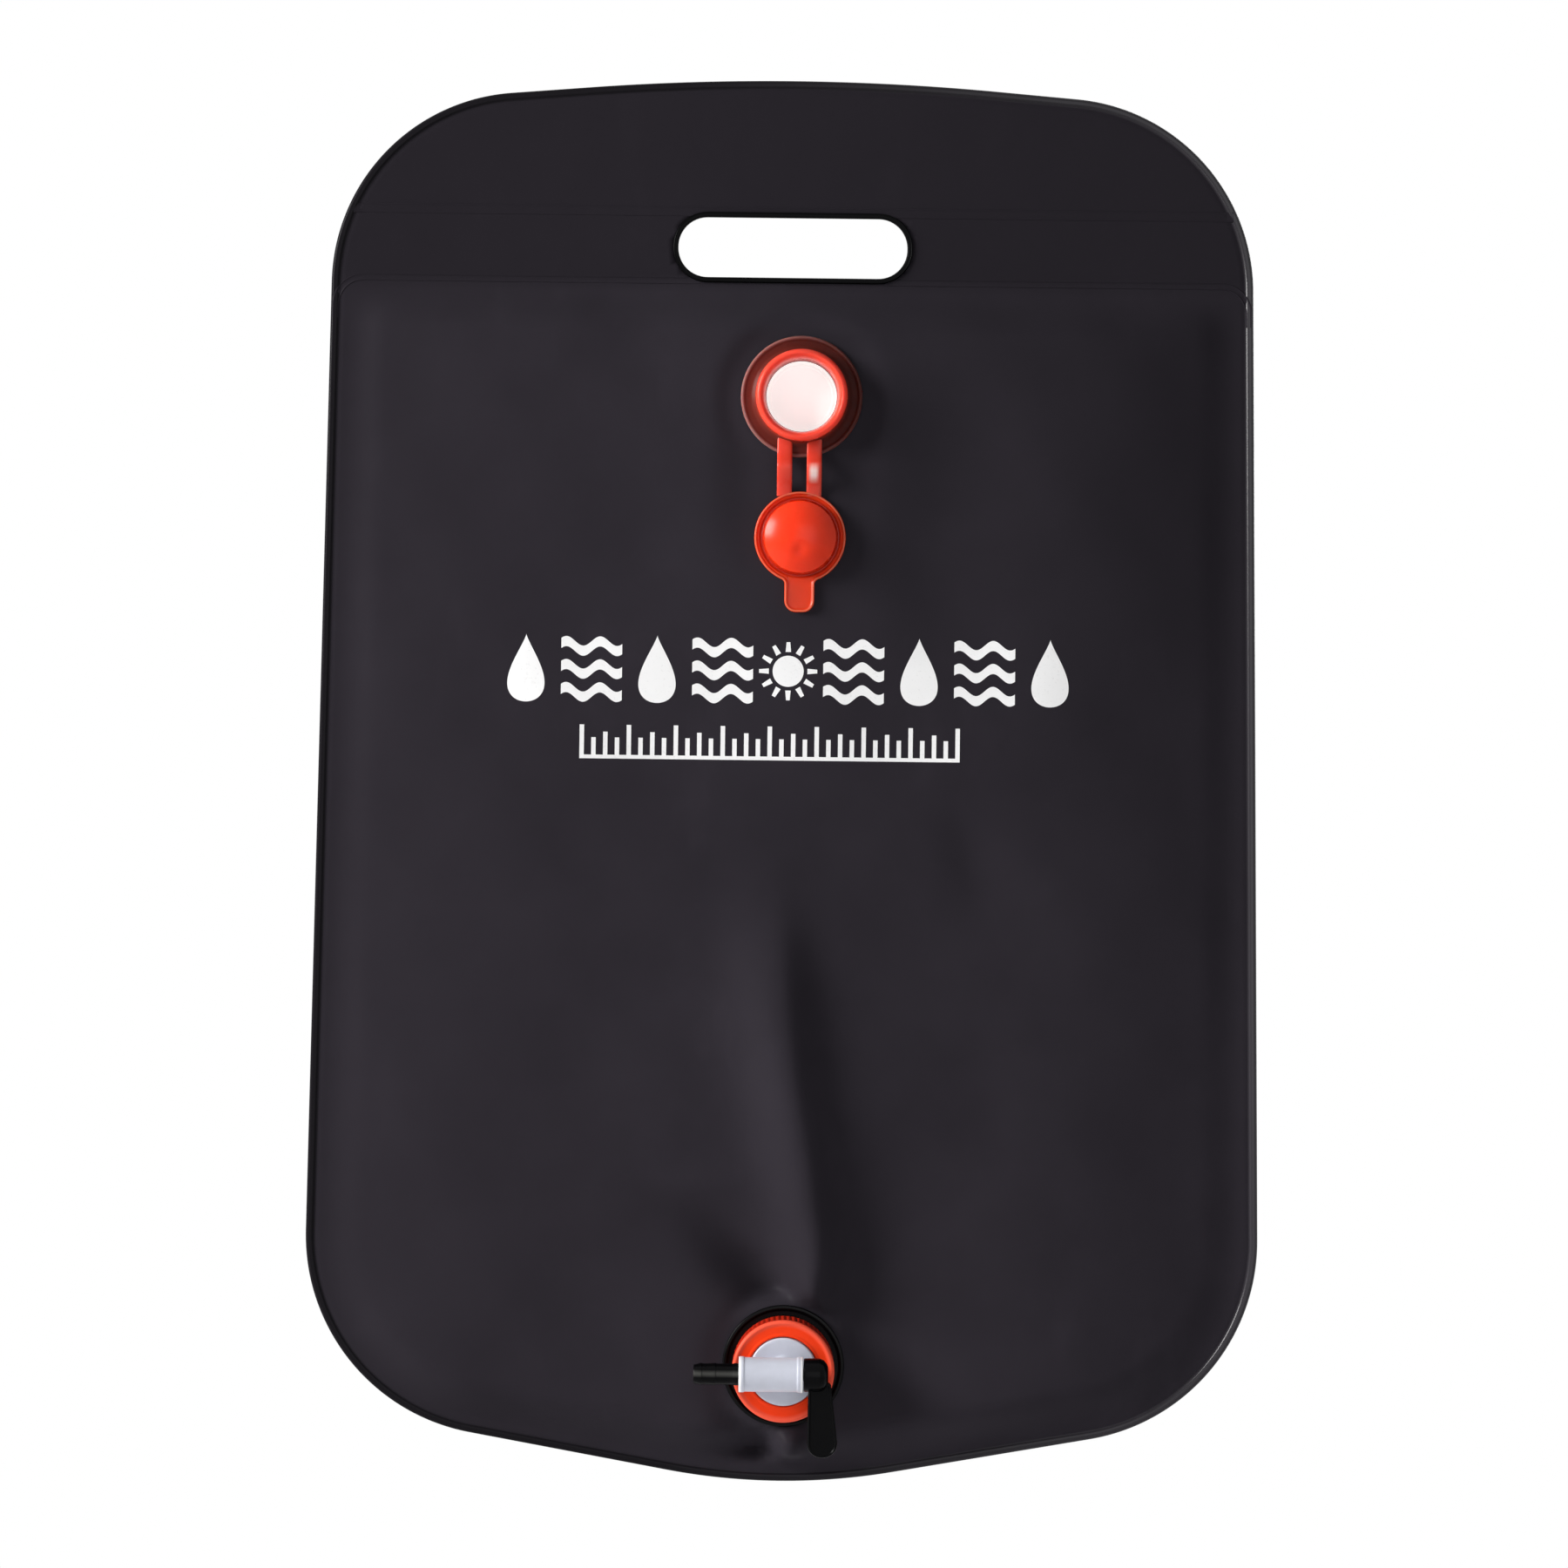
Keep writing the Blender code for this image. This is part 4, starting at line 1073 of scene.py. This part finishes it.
class SHOWER_OT_plug(bpy.types.Operator):
    """Build the plug: a thin plate with a pull tab and a beaded edge, round a trough and a domed stopper"""

    bl_idname = "shower.plug"
    bl_label = "Filler Plug"

    def execute(self, context):
        settings = context.scene.shower_fitting
        plate_thickness = 0.0016
        back, end = heights(plug_box)
        base = back + plate_thickness
        rim = plug_box[1, 0] - neck_x
        plug_z = plug_box[1, 2] - rim

        def beaded(finish, base_color):
            """Painted shade makes the trough round the dome a deeper red, and a painted highlight makes the
            bead on the plate's edge a paler one.
            """
            away = finish.from_line(neck_x, plug_z)
            trough = finish.ramp(away, 0.0150, 0.0157) * (1 - finish.ramp(away, 0.0166, 0.0178))
            bead = finish.ramp(finish.height(), base, base + 0.0004) * finish.ramp(away, 0.0166, 0.0172)
            # Painted shade in the trough
            toned = finish.blend(base_color, (0.46, 0.010, 0.004, 1), trough * 0.8)
            # Painted highlight on the bead
            return finish.blend(toned, (0.86, 0.19, 0.11, 1), bead * 0.55), 0.35

        finish = vinyl_finish("plug_vinyl", settings.plug_color, beaded, 0.014)
        loop, normals = evenly(self.plate_outline(rim, plug_z - plug_box[0, 2]), 0.0007)
        angles = np.arctan2(loop[:, 1], loop[:, 0])
        round_parts, crown, shoulder = 0.0174, 0.0052, 0.0153
        sphere = (shoulder**2 + crown**2) / 2 / crown
        tilt = np.linspace(math.asin(shoulder / sphere), 0.0004 / sphere, 22)
        dome = points_of(sphere * np.sin(tilt), end - sphere + sphere * np.cos(tilt))
        edge = (
            near(0, back, (0.4, 3), (12, 3), (12.6, 2.2), (12.8, 0)),
            near(rim, back, (-0.8, 0), (0, 0.6)),
            near(rim, base, (0, -0.2), (-0.3, 0.4), (-0.8, 0.4), (-1.4, -0.2)),
            near(0, base, (17.4, -0.3), (16.7, -0.7), (16.1, -0.6), (15.7, 0.4)),
            near(shoulder, end - crown, (0, -1)),
            dome[:2],
        )
        rings = []
        for radius, height in np.vstack([soften(np.vstack(edge), 0.0006, 4), dome[2:]]):
            on_plate = radius > round_parts + 1e-6
            ring = loop - normals * (rim - radius) if on_plate else radius * circle(angles)
            lift = height - self.gate(ring) * (height > end - crown)
            rings.append(points_of(neck_x + ring[:, 0], -lift, plug_z + ring[:, 1]))
        finish_off(shell("stopper", np.array(rings), finish), "plug", "filler_vinyl", "filler_plug")
        return {"FINISHED"}

    def gate(self, ring):
        """The depth of a dimple under the dome's middle: a bell round its centre."""
        depth, width, drop = 0.0009, 0.0030, 0.0058
        return depth * np.exp(-((np.hypot(ring[:, 0], ring[:, 1] + drop) / width) ** 2))

    def plate_outline(self, rim, tab_end):
        """The rim's circle and the tab as one clockwise outline, from three arcs and their mirror images.

        They are the rim, the fillet at the tab's root, which touches the rim and the tab's side, and the
        tab's corner. Each is given by its centre, its radius and its first and last angle.
        """
        half_tab, fillet, corner = 0.0064, 0.0022, 0.0050
        drop = math.sqrt((rim + fillet) ** 2 - (half_tab + fillet) ** 2)
        root = math.atan2(-drop, half_tab + fillet)
        arcs = (
            ((0, 0), rim, math.pi / 2, root),
            ((half_tab + fillet, -drop), fillet, root + math.pi, math.pi),
            ((half_tab - corner, corner - tab_end), corner, 0, -math.pi / 2),
        )
        turns = [np.linspace(first, last, 60) for _, _, first, last in arcs]
        half = np.vstack([arc[0] + arc[1] * circle(turn) for arc, turn in zip(arcs, turns)])
        return np.vstack([half, (half * (-1, 1))[-1:0:-1]])


class SHOWER_OT_straps(bpy.types.Operator):
    """Carry the two tether straps from the flange over their bend to the plug's rim"""

    bl_idname = "shower.straps"
    bl_label = "Tether Straps"

    def execute(self, context):
        settings = context.scene.shower_fitting
        strap_box, plug_strap = node_box("neck_strap_right"), node_box("plug_strap_right")
        right_x = strap_box[:, 0].mean()

        def painted_strap_glint(finish, base):
            """A painted highlight: the right strap is paler just below its bend."""
            wide = 1 - finish.ramp(finish.from_plane("X", right_x - 0.0008), 0.0008, 0.0024)
            tall = 1 - finish.ramp(finish.from_plane("Z", bend[2] - 0.0028), 0.0010, 0.0046)
            # Painted highlight below the right strap's bend
            return finish.blend(base, (1.0, 0.74, 0.68, 1), wide * tall * 0.9), 0.35

        color = tuple(0.85 * channel for channel in settings.vinyl_color)
        finish = vinyl_finish("strap_vinyl", color, painted_strap_glint)
        half_thick, lean, bend_reach = 0.0009, 0.0006, 0.0042
        flat = section(half_span(strap_box), half_thick, 2.8, 28)
        controls = (
            near(neck_box[1, 1] - 0.0012, strap_box[1, 2], (0.2, 5.8), (-0.2, 2), (-1.4, -5)),
            near(bend[1], bend[2], (0.6, 1.5), (0.2, -1), (2.2, -4.8)),
            near(plug_box[1, 1] - 0.0009, plug_strap[0, 2], (-0.6, 3), (0, -1.6)),
        )
        path = self.curve(np.vstack(controls), 64)
        thick_way = unit(np.gradient(path, axis=0)) @ ((0, 0, -1), (0, 1, 0))
        for word, side in (("left", -1), ("right", 1)):
            places = path @ ((0, 1, 0), (0, 0, 1)) + (neck_x - lean + side * (right_x - neck_x), 0, 0)
            piece = carried(f"tether_strap_{word}", places, np.array((1, 0, 0)), thick_way, flat, finish)
            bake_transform(piece)
            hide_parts(f"neck_strap_{word}", f"plug_strap_{word}")
        return {"FINISHED"}

    def curve(self, controls, steps):
        """A uniform cubic B-spline that passes near its controls and ends on the first and last."""
        padded = np.vstack([controls[:1], controls[:1], controls, controls[-1:], controls[-1:]])
        t = np.linspace(0, len(padded) - 3 - 1e-6, steps)
        index = t.astype(int)
        u = (t - index)[:, None]
        shares = ((1 - u) ** 3, 3 * u**3 - 6 * u**2 + 4, -3 * u**3 + 3 * u**2 + 3 * u + 1, u**3)
        return sum(share * padded[index + k] for k, share in enumerate(shares)) / 6


class SHOWER_OT_outlet(bpy.types.Operator):
    """Turn the outlet's weld flange with its neck, and the screw collar with its grip ribs"""

    bl_idname = "shower.outlet"
    bl_label = "Outlet and Collar"

    def execute(self, context):
        settings = context.scene.shower_fitting
        black = plastic_finish("flange_plastic", settings.black_color, 0.22, Specular_IOR_Level=0.08)
        foot, neck_top = heights(flange_box)
        radius = half_span(flange_box)
        neck, turns, pitch, first_crest = 0.016, 3, 0.0032, 0.0038
        crests = foot + first_crest + np.arange(turns) * pitch
        profile = (
            near(0, foot, (12, 0)),
            near(radius, foot, (-0.3, 0), (0, 0.6), (-0.3, 1.7), (-1.7, 1.8), (-2.4, 1)),
            near(neck, foot, (0.6, 1.2)),
            *(near(neck, crest, (-0.6, -1), (-0.1, -0.3), (-0.1, 0.3), (-0.6, 1)) for crest in crests),
            near(neck, neck_top, (-0.6, -0.3), (-1, 0)),
            near(0, neck_top, (12, 0)),
        )
        flange = turned("outlet_base", profile, 0.0004, outlet_place, black, closed=True)
        finish_off(flange, "bag", "outlet_black", "outlet_flange")
        self.collar(settings)
        return {"FINISHED"}

    def collar(self, settings):
        """The collar: its skirt's radius drops by a cosine of the angle between ribs, under a plain edge."""
        floor, top = heights(collar_box)
        radius, bore, lip = half_span(collar_box), 0.0164, boss_radius + 0.0003
        skirt_low, skirt_high, fade = floor + 0.0004, top - 0.0036, 0.0005

        def painted_rim_and_skirt(finish, base):
            """A painted highlight makes the collar paler on its rounded rim, and painted shade makes the skirt
            a deep red.
            """
            rim = finish.ramp(finish.from_line(tap_x, tap_z), 0.0186, 0.0200)
            upper = finish.ramp(finish.height(), top - 0.0022, top - 0.0010)
            # Painted highlight on the rim
            base = finish.blend(base, (0.95, 0.13, 0.075, 1), rim * 0.7)
            # Painted shade down the skirt, under the top
            return finish.blend((0.48, 0.020, 0.006, 1), base, upper)

        def ribbed(radii, height, angles):
            """The skirt's radius less a power of a cosine of the angle, faded at the skirt's two ends."""
            above = smooth(height, skirt_low, skirt_low + fade)
            below = 1 - smooth(height, skirt_high, skirt_high + fade)
            groove = (0.5 - 0.5 * np.cos(settings.grip_ribs * angles)) ** 1.5
            return radii - settings.rib_depth * groove * above * below * (radii > radius - 0.0006), height

        orange = plastic_finish(
            "collar_plastic", settings.collar_color, 0.28, speck=0.05, toned=painted_rim_and_skirt, Specular_IOR_Level=0.08
        )
        profile = (
            near(bore, floor, (0, 0)),
            near(radius, floor, (-0.4, 0), (0, 0.6)),
            near(radius, top, (0, -4), (0, -3), (0, -1.4), (-0.4, -0.4), (-1.2, 0), (-2, -0.3), (-2.6, -0.5)),
            near(0, top, (16.2, -0.5), (15.6, -0.2), (15, -0.2)),
            near(lip, top, (0, -0.7), (0, -2)),
            near(bore, top, (0, -2)),
        )
        around = 8 * max(settings.grip_ribs, 12)
        collar = turned(
            "screw_collar", profile, 0.0005, outlet_place, orange, closed=True, shape=ribbed, around=around
        )
        finish_off(collar, "collar", "collar_orange", "outlet_collar")


class SHOWER_OT_tap(bpy.types.Operator):
    """Build the tap body, a turned boss joined to a bored barrel, and the hose nipple on its left"""

    bl_idname = "shower.tap"
    bl_label = "Tap Body"

    def execute(self, context):
        settings = context.scene.shower_fitting
        inner, front = heights(tap_box)
        collar_top = heights(collar_box)[1]
        boss_top = collar_top + 0.0010
        barrel_height = -barrel_y
        barrel_radius = front - barrel_height
        left, lever_left = tap_box[0, 0], lever_box[0, 0]
        right = lever_left - 0.0003
        band, axis_radius = 0.0021, 0.0004

        def painted_band_highlight(finish, base):
            """A painted highlight: the barrel's two end bands are nearly white on its front half, over its
            grey.
            """
            half = (lever_left - left) / 2
            away = finish.from_plane("X", (left + lever_left) / 2)
            ends = finish.ramp(away, half - band * 0.62, half - band * 0.50)
            proud = finish.ramp(finish.height(), barrel_height - 0.0040, barrel_height)
            # Painted highlight on the front of the end bands
            return finish.blend(base, (0.92, 0.93, 0.95, 1), ends * proud)

        white = plastic_finish(
            "milky_plastic",
            settings.tap_color,
            0.28,
            speck=0.06,
            toned=painted_band_highlight,
            Specular_IOR_Level=0.25,
            Subsurface_Weight=0.25,
            Subsurface_Scale=0.002,
            Subsurface_Radius=(1.0, 0.95, 1.0),
        )
        boss = (
            near(0, inner, (0.4, 0), (11, 0), (11.7, 0.6)),
            near(0, collar_top, (11.7, -4.3), (15.7, -4.3), (15.7, -2.3)),
            near(boss_radius, collar_top, (0, -2.3)),
            near(boss_radius, boss_top, (0, -0.4), (-0.5, 0)),
            near(0, boss_top, (7.2, 0), (6.2, 0.8)),
            near(0, barrel_height, (6, 0), (0.4, 0)),
        )
        body = turned("tap_moulding", boss, 0.0004, outlet_place, white)
        barrel = (
            near(axis_radius, left, (0, 0)),
            near(barrel_radius, left, (0, 0)),
            near(barrel_radius, left + band, (0, 0), (-0.3, 0.4)),
            near(barrel_radius, right - band, (-0.3, -0.4), (0, 0)),
            near(barrel_radius, right, (0, 0)),
            near(axis_radius, right, (0, 0)),
        )
        bore = (near(0, left, (0.4, -3), (5, -3)), near(0, right, (5, 3), (0.4, 3)))
        joined(body, turned("barrel_tool", barrel, 0.0004, barrel_place, white, along="X"), "UNION")
        joined(body, turned("bore_tool", bore, 0, barrel_place, white, along="X"), "DIFFERENCE")
        finish_off(body, "tap", "tap_white", "tap_body")
        self.nipple(settings)
        return {"FINISHED"}

    def nipple(self, settings):
        """The hose nipple: a tube with a chamfered mouth and two low barbs."""

        def painted_streak(finish, base):
            """A painted highlight: a greyer streak along the front, a little above the middle."""
            line = 1 - finish.ramp(finish.from_plane("Z", barrel_z + 0.0006), 0.0002, 0.0016)
            # Painted highlight streak
            return finish.blend(base, (0.060, 0.060, 0.056, 1), line * 0.8)

        color = settings.black_color
        black = plastic_finish("nipple_plastic", color, 0.20, toned=painted_streak, Specular_IOR_Level=0.05)
        left, right = nipple_box[:, 0]
        radius = half_span(nipple_box, 2)
        profile = (
            near(0, left, (3, 0.3), (3.3, 0)),
            near(radius, left, (-0.8, 0), (0, 3.4), (-0.25, 3.7), (-0.25, 6.2), (0, 9.2), (-0.25, 9.5)),
            near(radius, right, (-0.25, -8.5), (0, -7.8), (0, 0)),
            near(0, right, (3, 0)),
        )
        piece = turned("hose_tail", profile, 0.0003, barrel_place, black, closed=True, along="X", around=72)
        finish_off(piece, "tap", "tap_black", "hose_nipple")


class SHOWER_OT_lever(bpy.types.Operator):
    """Build the lever: a turned hub with a domed end and a flat arm with a rounded border"""

    bl_idname = "shower.lever"
    bl_label = "Tap Lever"

    def execute(self, context):
        settings = context.scene.shower_fitting
        black = plastic_finish("lever_plastic", settings.black_color, 0.16, Specular_IOR_Level=0.05)
        left = lever_box[0, 0]
        hub_length, half_thick, edge, dish = 0.0103, 0.0020, 0.0008, 0.0004
        right = left + hub_length
        hub = lever_box[1, 2] - barrel_z
        profile = (
            near(0, left, (0.4, 5.5), (2.8, 5.5), (2.8, 0)),
            near(hub, left, (-0.4, 0), (0, 0.4)),
            near(hub, right, (0, -3.6), (-0.8, -1.8), (-2.2, -0.6), (-3.8, 0)),
            near(0, right, (1.6, 0), (1.2, -0.4), (0.4, -0.4)),
        )
        piece = turned("lever_moulding", profile, 0.0004, barrel_place, black, along="X")
        root = near(left, barrel_z, (2, -3), (11.4, -3))
        tip = near(lever_box[1, 0], lever_box[0, 2], (0, 0), (-13.5, 0))
        loop, normals = rounded_loop(np.vstack([root, tip]), (0.0018, 0.0018, 0.0060, 0.0060), 0.0006)
        arm = slab("arm_tool", loop, normals, half_thick, edge, dish, barrel_y, black)
        joined(piece, arm, "UNION")
        finish_off(piece, "lever", "tap_black", "tap_lever")
        return {"FINISHED"}


class SHOWER_OT_inner_parts(bpy.types.Operator):
    """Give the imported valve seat, hinge strip, gasket, core and seals their finishes"""

    bl_idname = "shower.inner_parts"
    bl_label = "Inner Parts"

    def execute(self, context):
        settings = context.scene.shower_fitting
        white = plastic_finish("seat_vinyl", settings.flap_color, 0.42, speck=0.04)
        rubber = plastic_finish("seal_rubber", (0.013, 0.013, 0.013), 0.62, grain=0.00004)
        black = plastic_finish("core_plastic", settings.black_color, 0.30)
        finishes = {
            "valve_seat": white,
            "flap_hinge_strip": white,
            "outlet_gasket": rubber,
            "core_seal_inner": rubber,
            "core_seal_outer": rubber,
            "tap_core": black,
        }
        for node, finish in finishes.items():
            mesh = frame["nodes"][node].data
            mesh.materials.clear()
            mesh.materials.append(finish)
        return {"FINISHED"}


class SHOWER_OT_stage(bpy.types.Operator):
    """Set the pale floor, the plain studio light and the camera in front of the bag"""

    bl_idname = "shower.stage"
    bl_label = "Stage"

    def execute(self, context):
        settings = context.scene.shower_stage
        middle = Vector((-0.0012, 0, -0.2425))
        self.floor(settings)
        self.world(context.scene, settings)
        lamps = (
            ("key_lamp", (-1.92, -0.745, 0.745), 0.95, settings.key_power, (1.0, 0.99, 0.98)),
            ("fill_lamp", (0.5, -2.2, 0.3), 1.4, settings.fill_power, (0.97, 0.98, 1.0)),
            ("back_lamp", (0.9, 1.5, 0.7), 1.2, settings.key_power * 0.32, (1.0, 1.0, 1.0)),
        )
        # Each lamp shines at the bag's middle from a place given from there
        for name, place, size, power, color in lamps:
            lamp = bpy.data.lights.new(name, "AREA")
            lamp.shape = "SQUARE"
            lamp.size, lamp.energy, lamp.color = size, power, color
            holder = linked(name, lamp)
            holder.location = middle + Vector(place)
            holder.rotation_euler = (-Vector(place)).to_track_quat("-Z", "Y").to_euler()
        camera = bpy.data.cameras.new("camera")
        camera.lens = settings.camera_lens
        camera.sensor_width = 36
        camera.clip_start, camera.clip_end = 0.05, 50
        holder = linked("camera", camera)
        upright = Matrix.Rotation(math.pi / 2, 4, "X")
        rolled = Matrix.Rotation(settings.camera_roll, 4, "Z")
        place = middle + Vector((0, -settings.camera_distance, 0))
        holder.matrix_world = Matrix.Translation(place) @ upright @ rolled
        context.scene.camera = holder
        context.scene.view_settings.view_transform = "Standard"
        return {"FINISHED"}

    def floor(self, settings):
        """A round floor, which fades into the white world at its edge where the camera looks."""
        z, radius = tip_z - settings.floor_drop, 1.6
        x, y = radius * circle(np.linspace(0, math.tau, 96, endpoint=False)).T
        finish = Finish("pale_floor")
        finish.surface(Base_Color=(0.86, 0.86, 0.87, 1), Roughness=0.85)
        glow = finish.node("ShaderNodeEmission", values={"Color": (1, 1, 1, 1), "Strength": 1.0})
        length = {"operation": "LENGTH"}
        away = finish.node("ShaderNodeVectorMath", length, {0: finish.place()}, output="Value")
        seen = finish.node("ShaderNodeLightPath", output="Is Camera Ray")
        share = finish.ramp(away, 0.72, 0.95) * seen
        plain = Wire(finish, finish.tree.nodes["Principled BSDF"].outputs[0])
        mixed = finish.node("ShaderNodeMixShader", values={0: share, 1: plain, 2: glow})
        finish.feed(finish.tree.nodes["Material Output"].inputs["Surface"], mixed)
        floor = make_object("floor", points_of(x, y, z), [list(range(len(x)))], finish.owner)

    def world(self, scene, settings):
        """A world that is white to the camera and in reflections, and gives a plain even light."""
        scene.world = bpy.data.worlds.new("studio")
        finish = Finish("studio", scene.world)
        rays = ("Is Camera Ray", "Is Glossy Ray", "Is Transmission Ray")
        camera, glossy, through_glass = (finish.node("ShaderNodeLightPath", output=name) for name in rays)
        seen = camera.maths("MAXIMUM", camera.maths("MAXIMUM", camera, glossy), through_glass)
        background = finish.tree.nodes["Background"]
        background.inputs["Color"].default_value = (1, 1, 1, 1)
        finish.feed(background.inputs["Strength"], settings.sky + seen * (1 - settings.sky))


class SHOWER_PT_panel(bpy.types.Panel):
    """Lists the bag's settings and the buttons that build its pieces"""

    bl_idname = "SHOWER_PT_panel"
    bl_label = "Shower Bag"
    bl_space_type = "VIEW_3D"
    bl_region_type = "UI"
    bl_category = "Shower Bag"

    def draw(self, context):
        for name in groups:
            group = getattr(context.scene, name)
            box = self.layout.box()
            for key in group.bl_rna.properties.keys():
                if key not in ("rna_type", "name"):
                    box.prop(group, key)
        for operator in operators:
            self.layout.operator(operator.bl_idname)


operators = (
    SHOWER_OT_films,
    SHOWER_OT_weld_bands,
    SHOWER_OT_print,
    SHOWER_OT_handle_rim,
    SHOWER_OT_filler,
    SHOWER_OT_plug,
    SHOWER_OT_straps,
    SHOWER_OT_outlet,
    SHOWER_OT_tap,
    SHOWER_OT_lever,
    SHOWER_OT_inner_parts,
    SHOWER_OT_stage,
)
groups = {"shower_film": FilmSettings, "shower_fitting": FittingSettings, "shower_stage": StageSettings}


def register():
    """Add the classes, and the settings as properties of the scene."""
    for item in (*groups.values(), *operators, SHOWER_PT_panel):
        bpy.utils.register_class(item)
    for name, group in groups.items():
        setattr(bpy.types.Scene, name, bpy.props.PointerProperty(type=group))


def unregister():
    """Remove the settings and the classes."""
    for name in groups:
        delattr(bpy.types.Scene, name)
    for item in (SHOWER_PT_panel, *reversed(operators), *reversed(tuple(groups.values()))):
        bpy.utils.unregister_class(item)


def main():
    """Build the bag and its stage."""
    register()
    for operator in operators:
        family, action = operator.bl_idname.split(".")
        getattr(getattr(bpy.ops, family), action)()


if __name__ == "__main__":
    main()
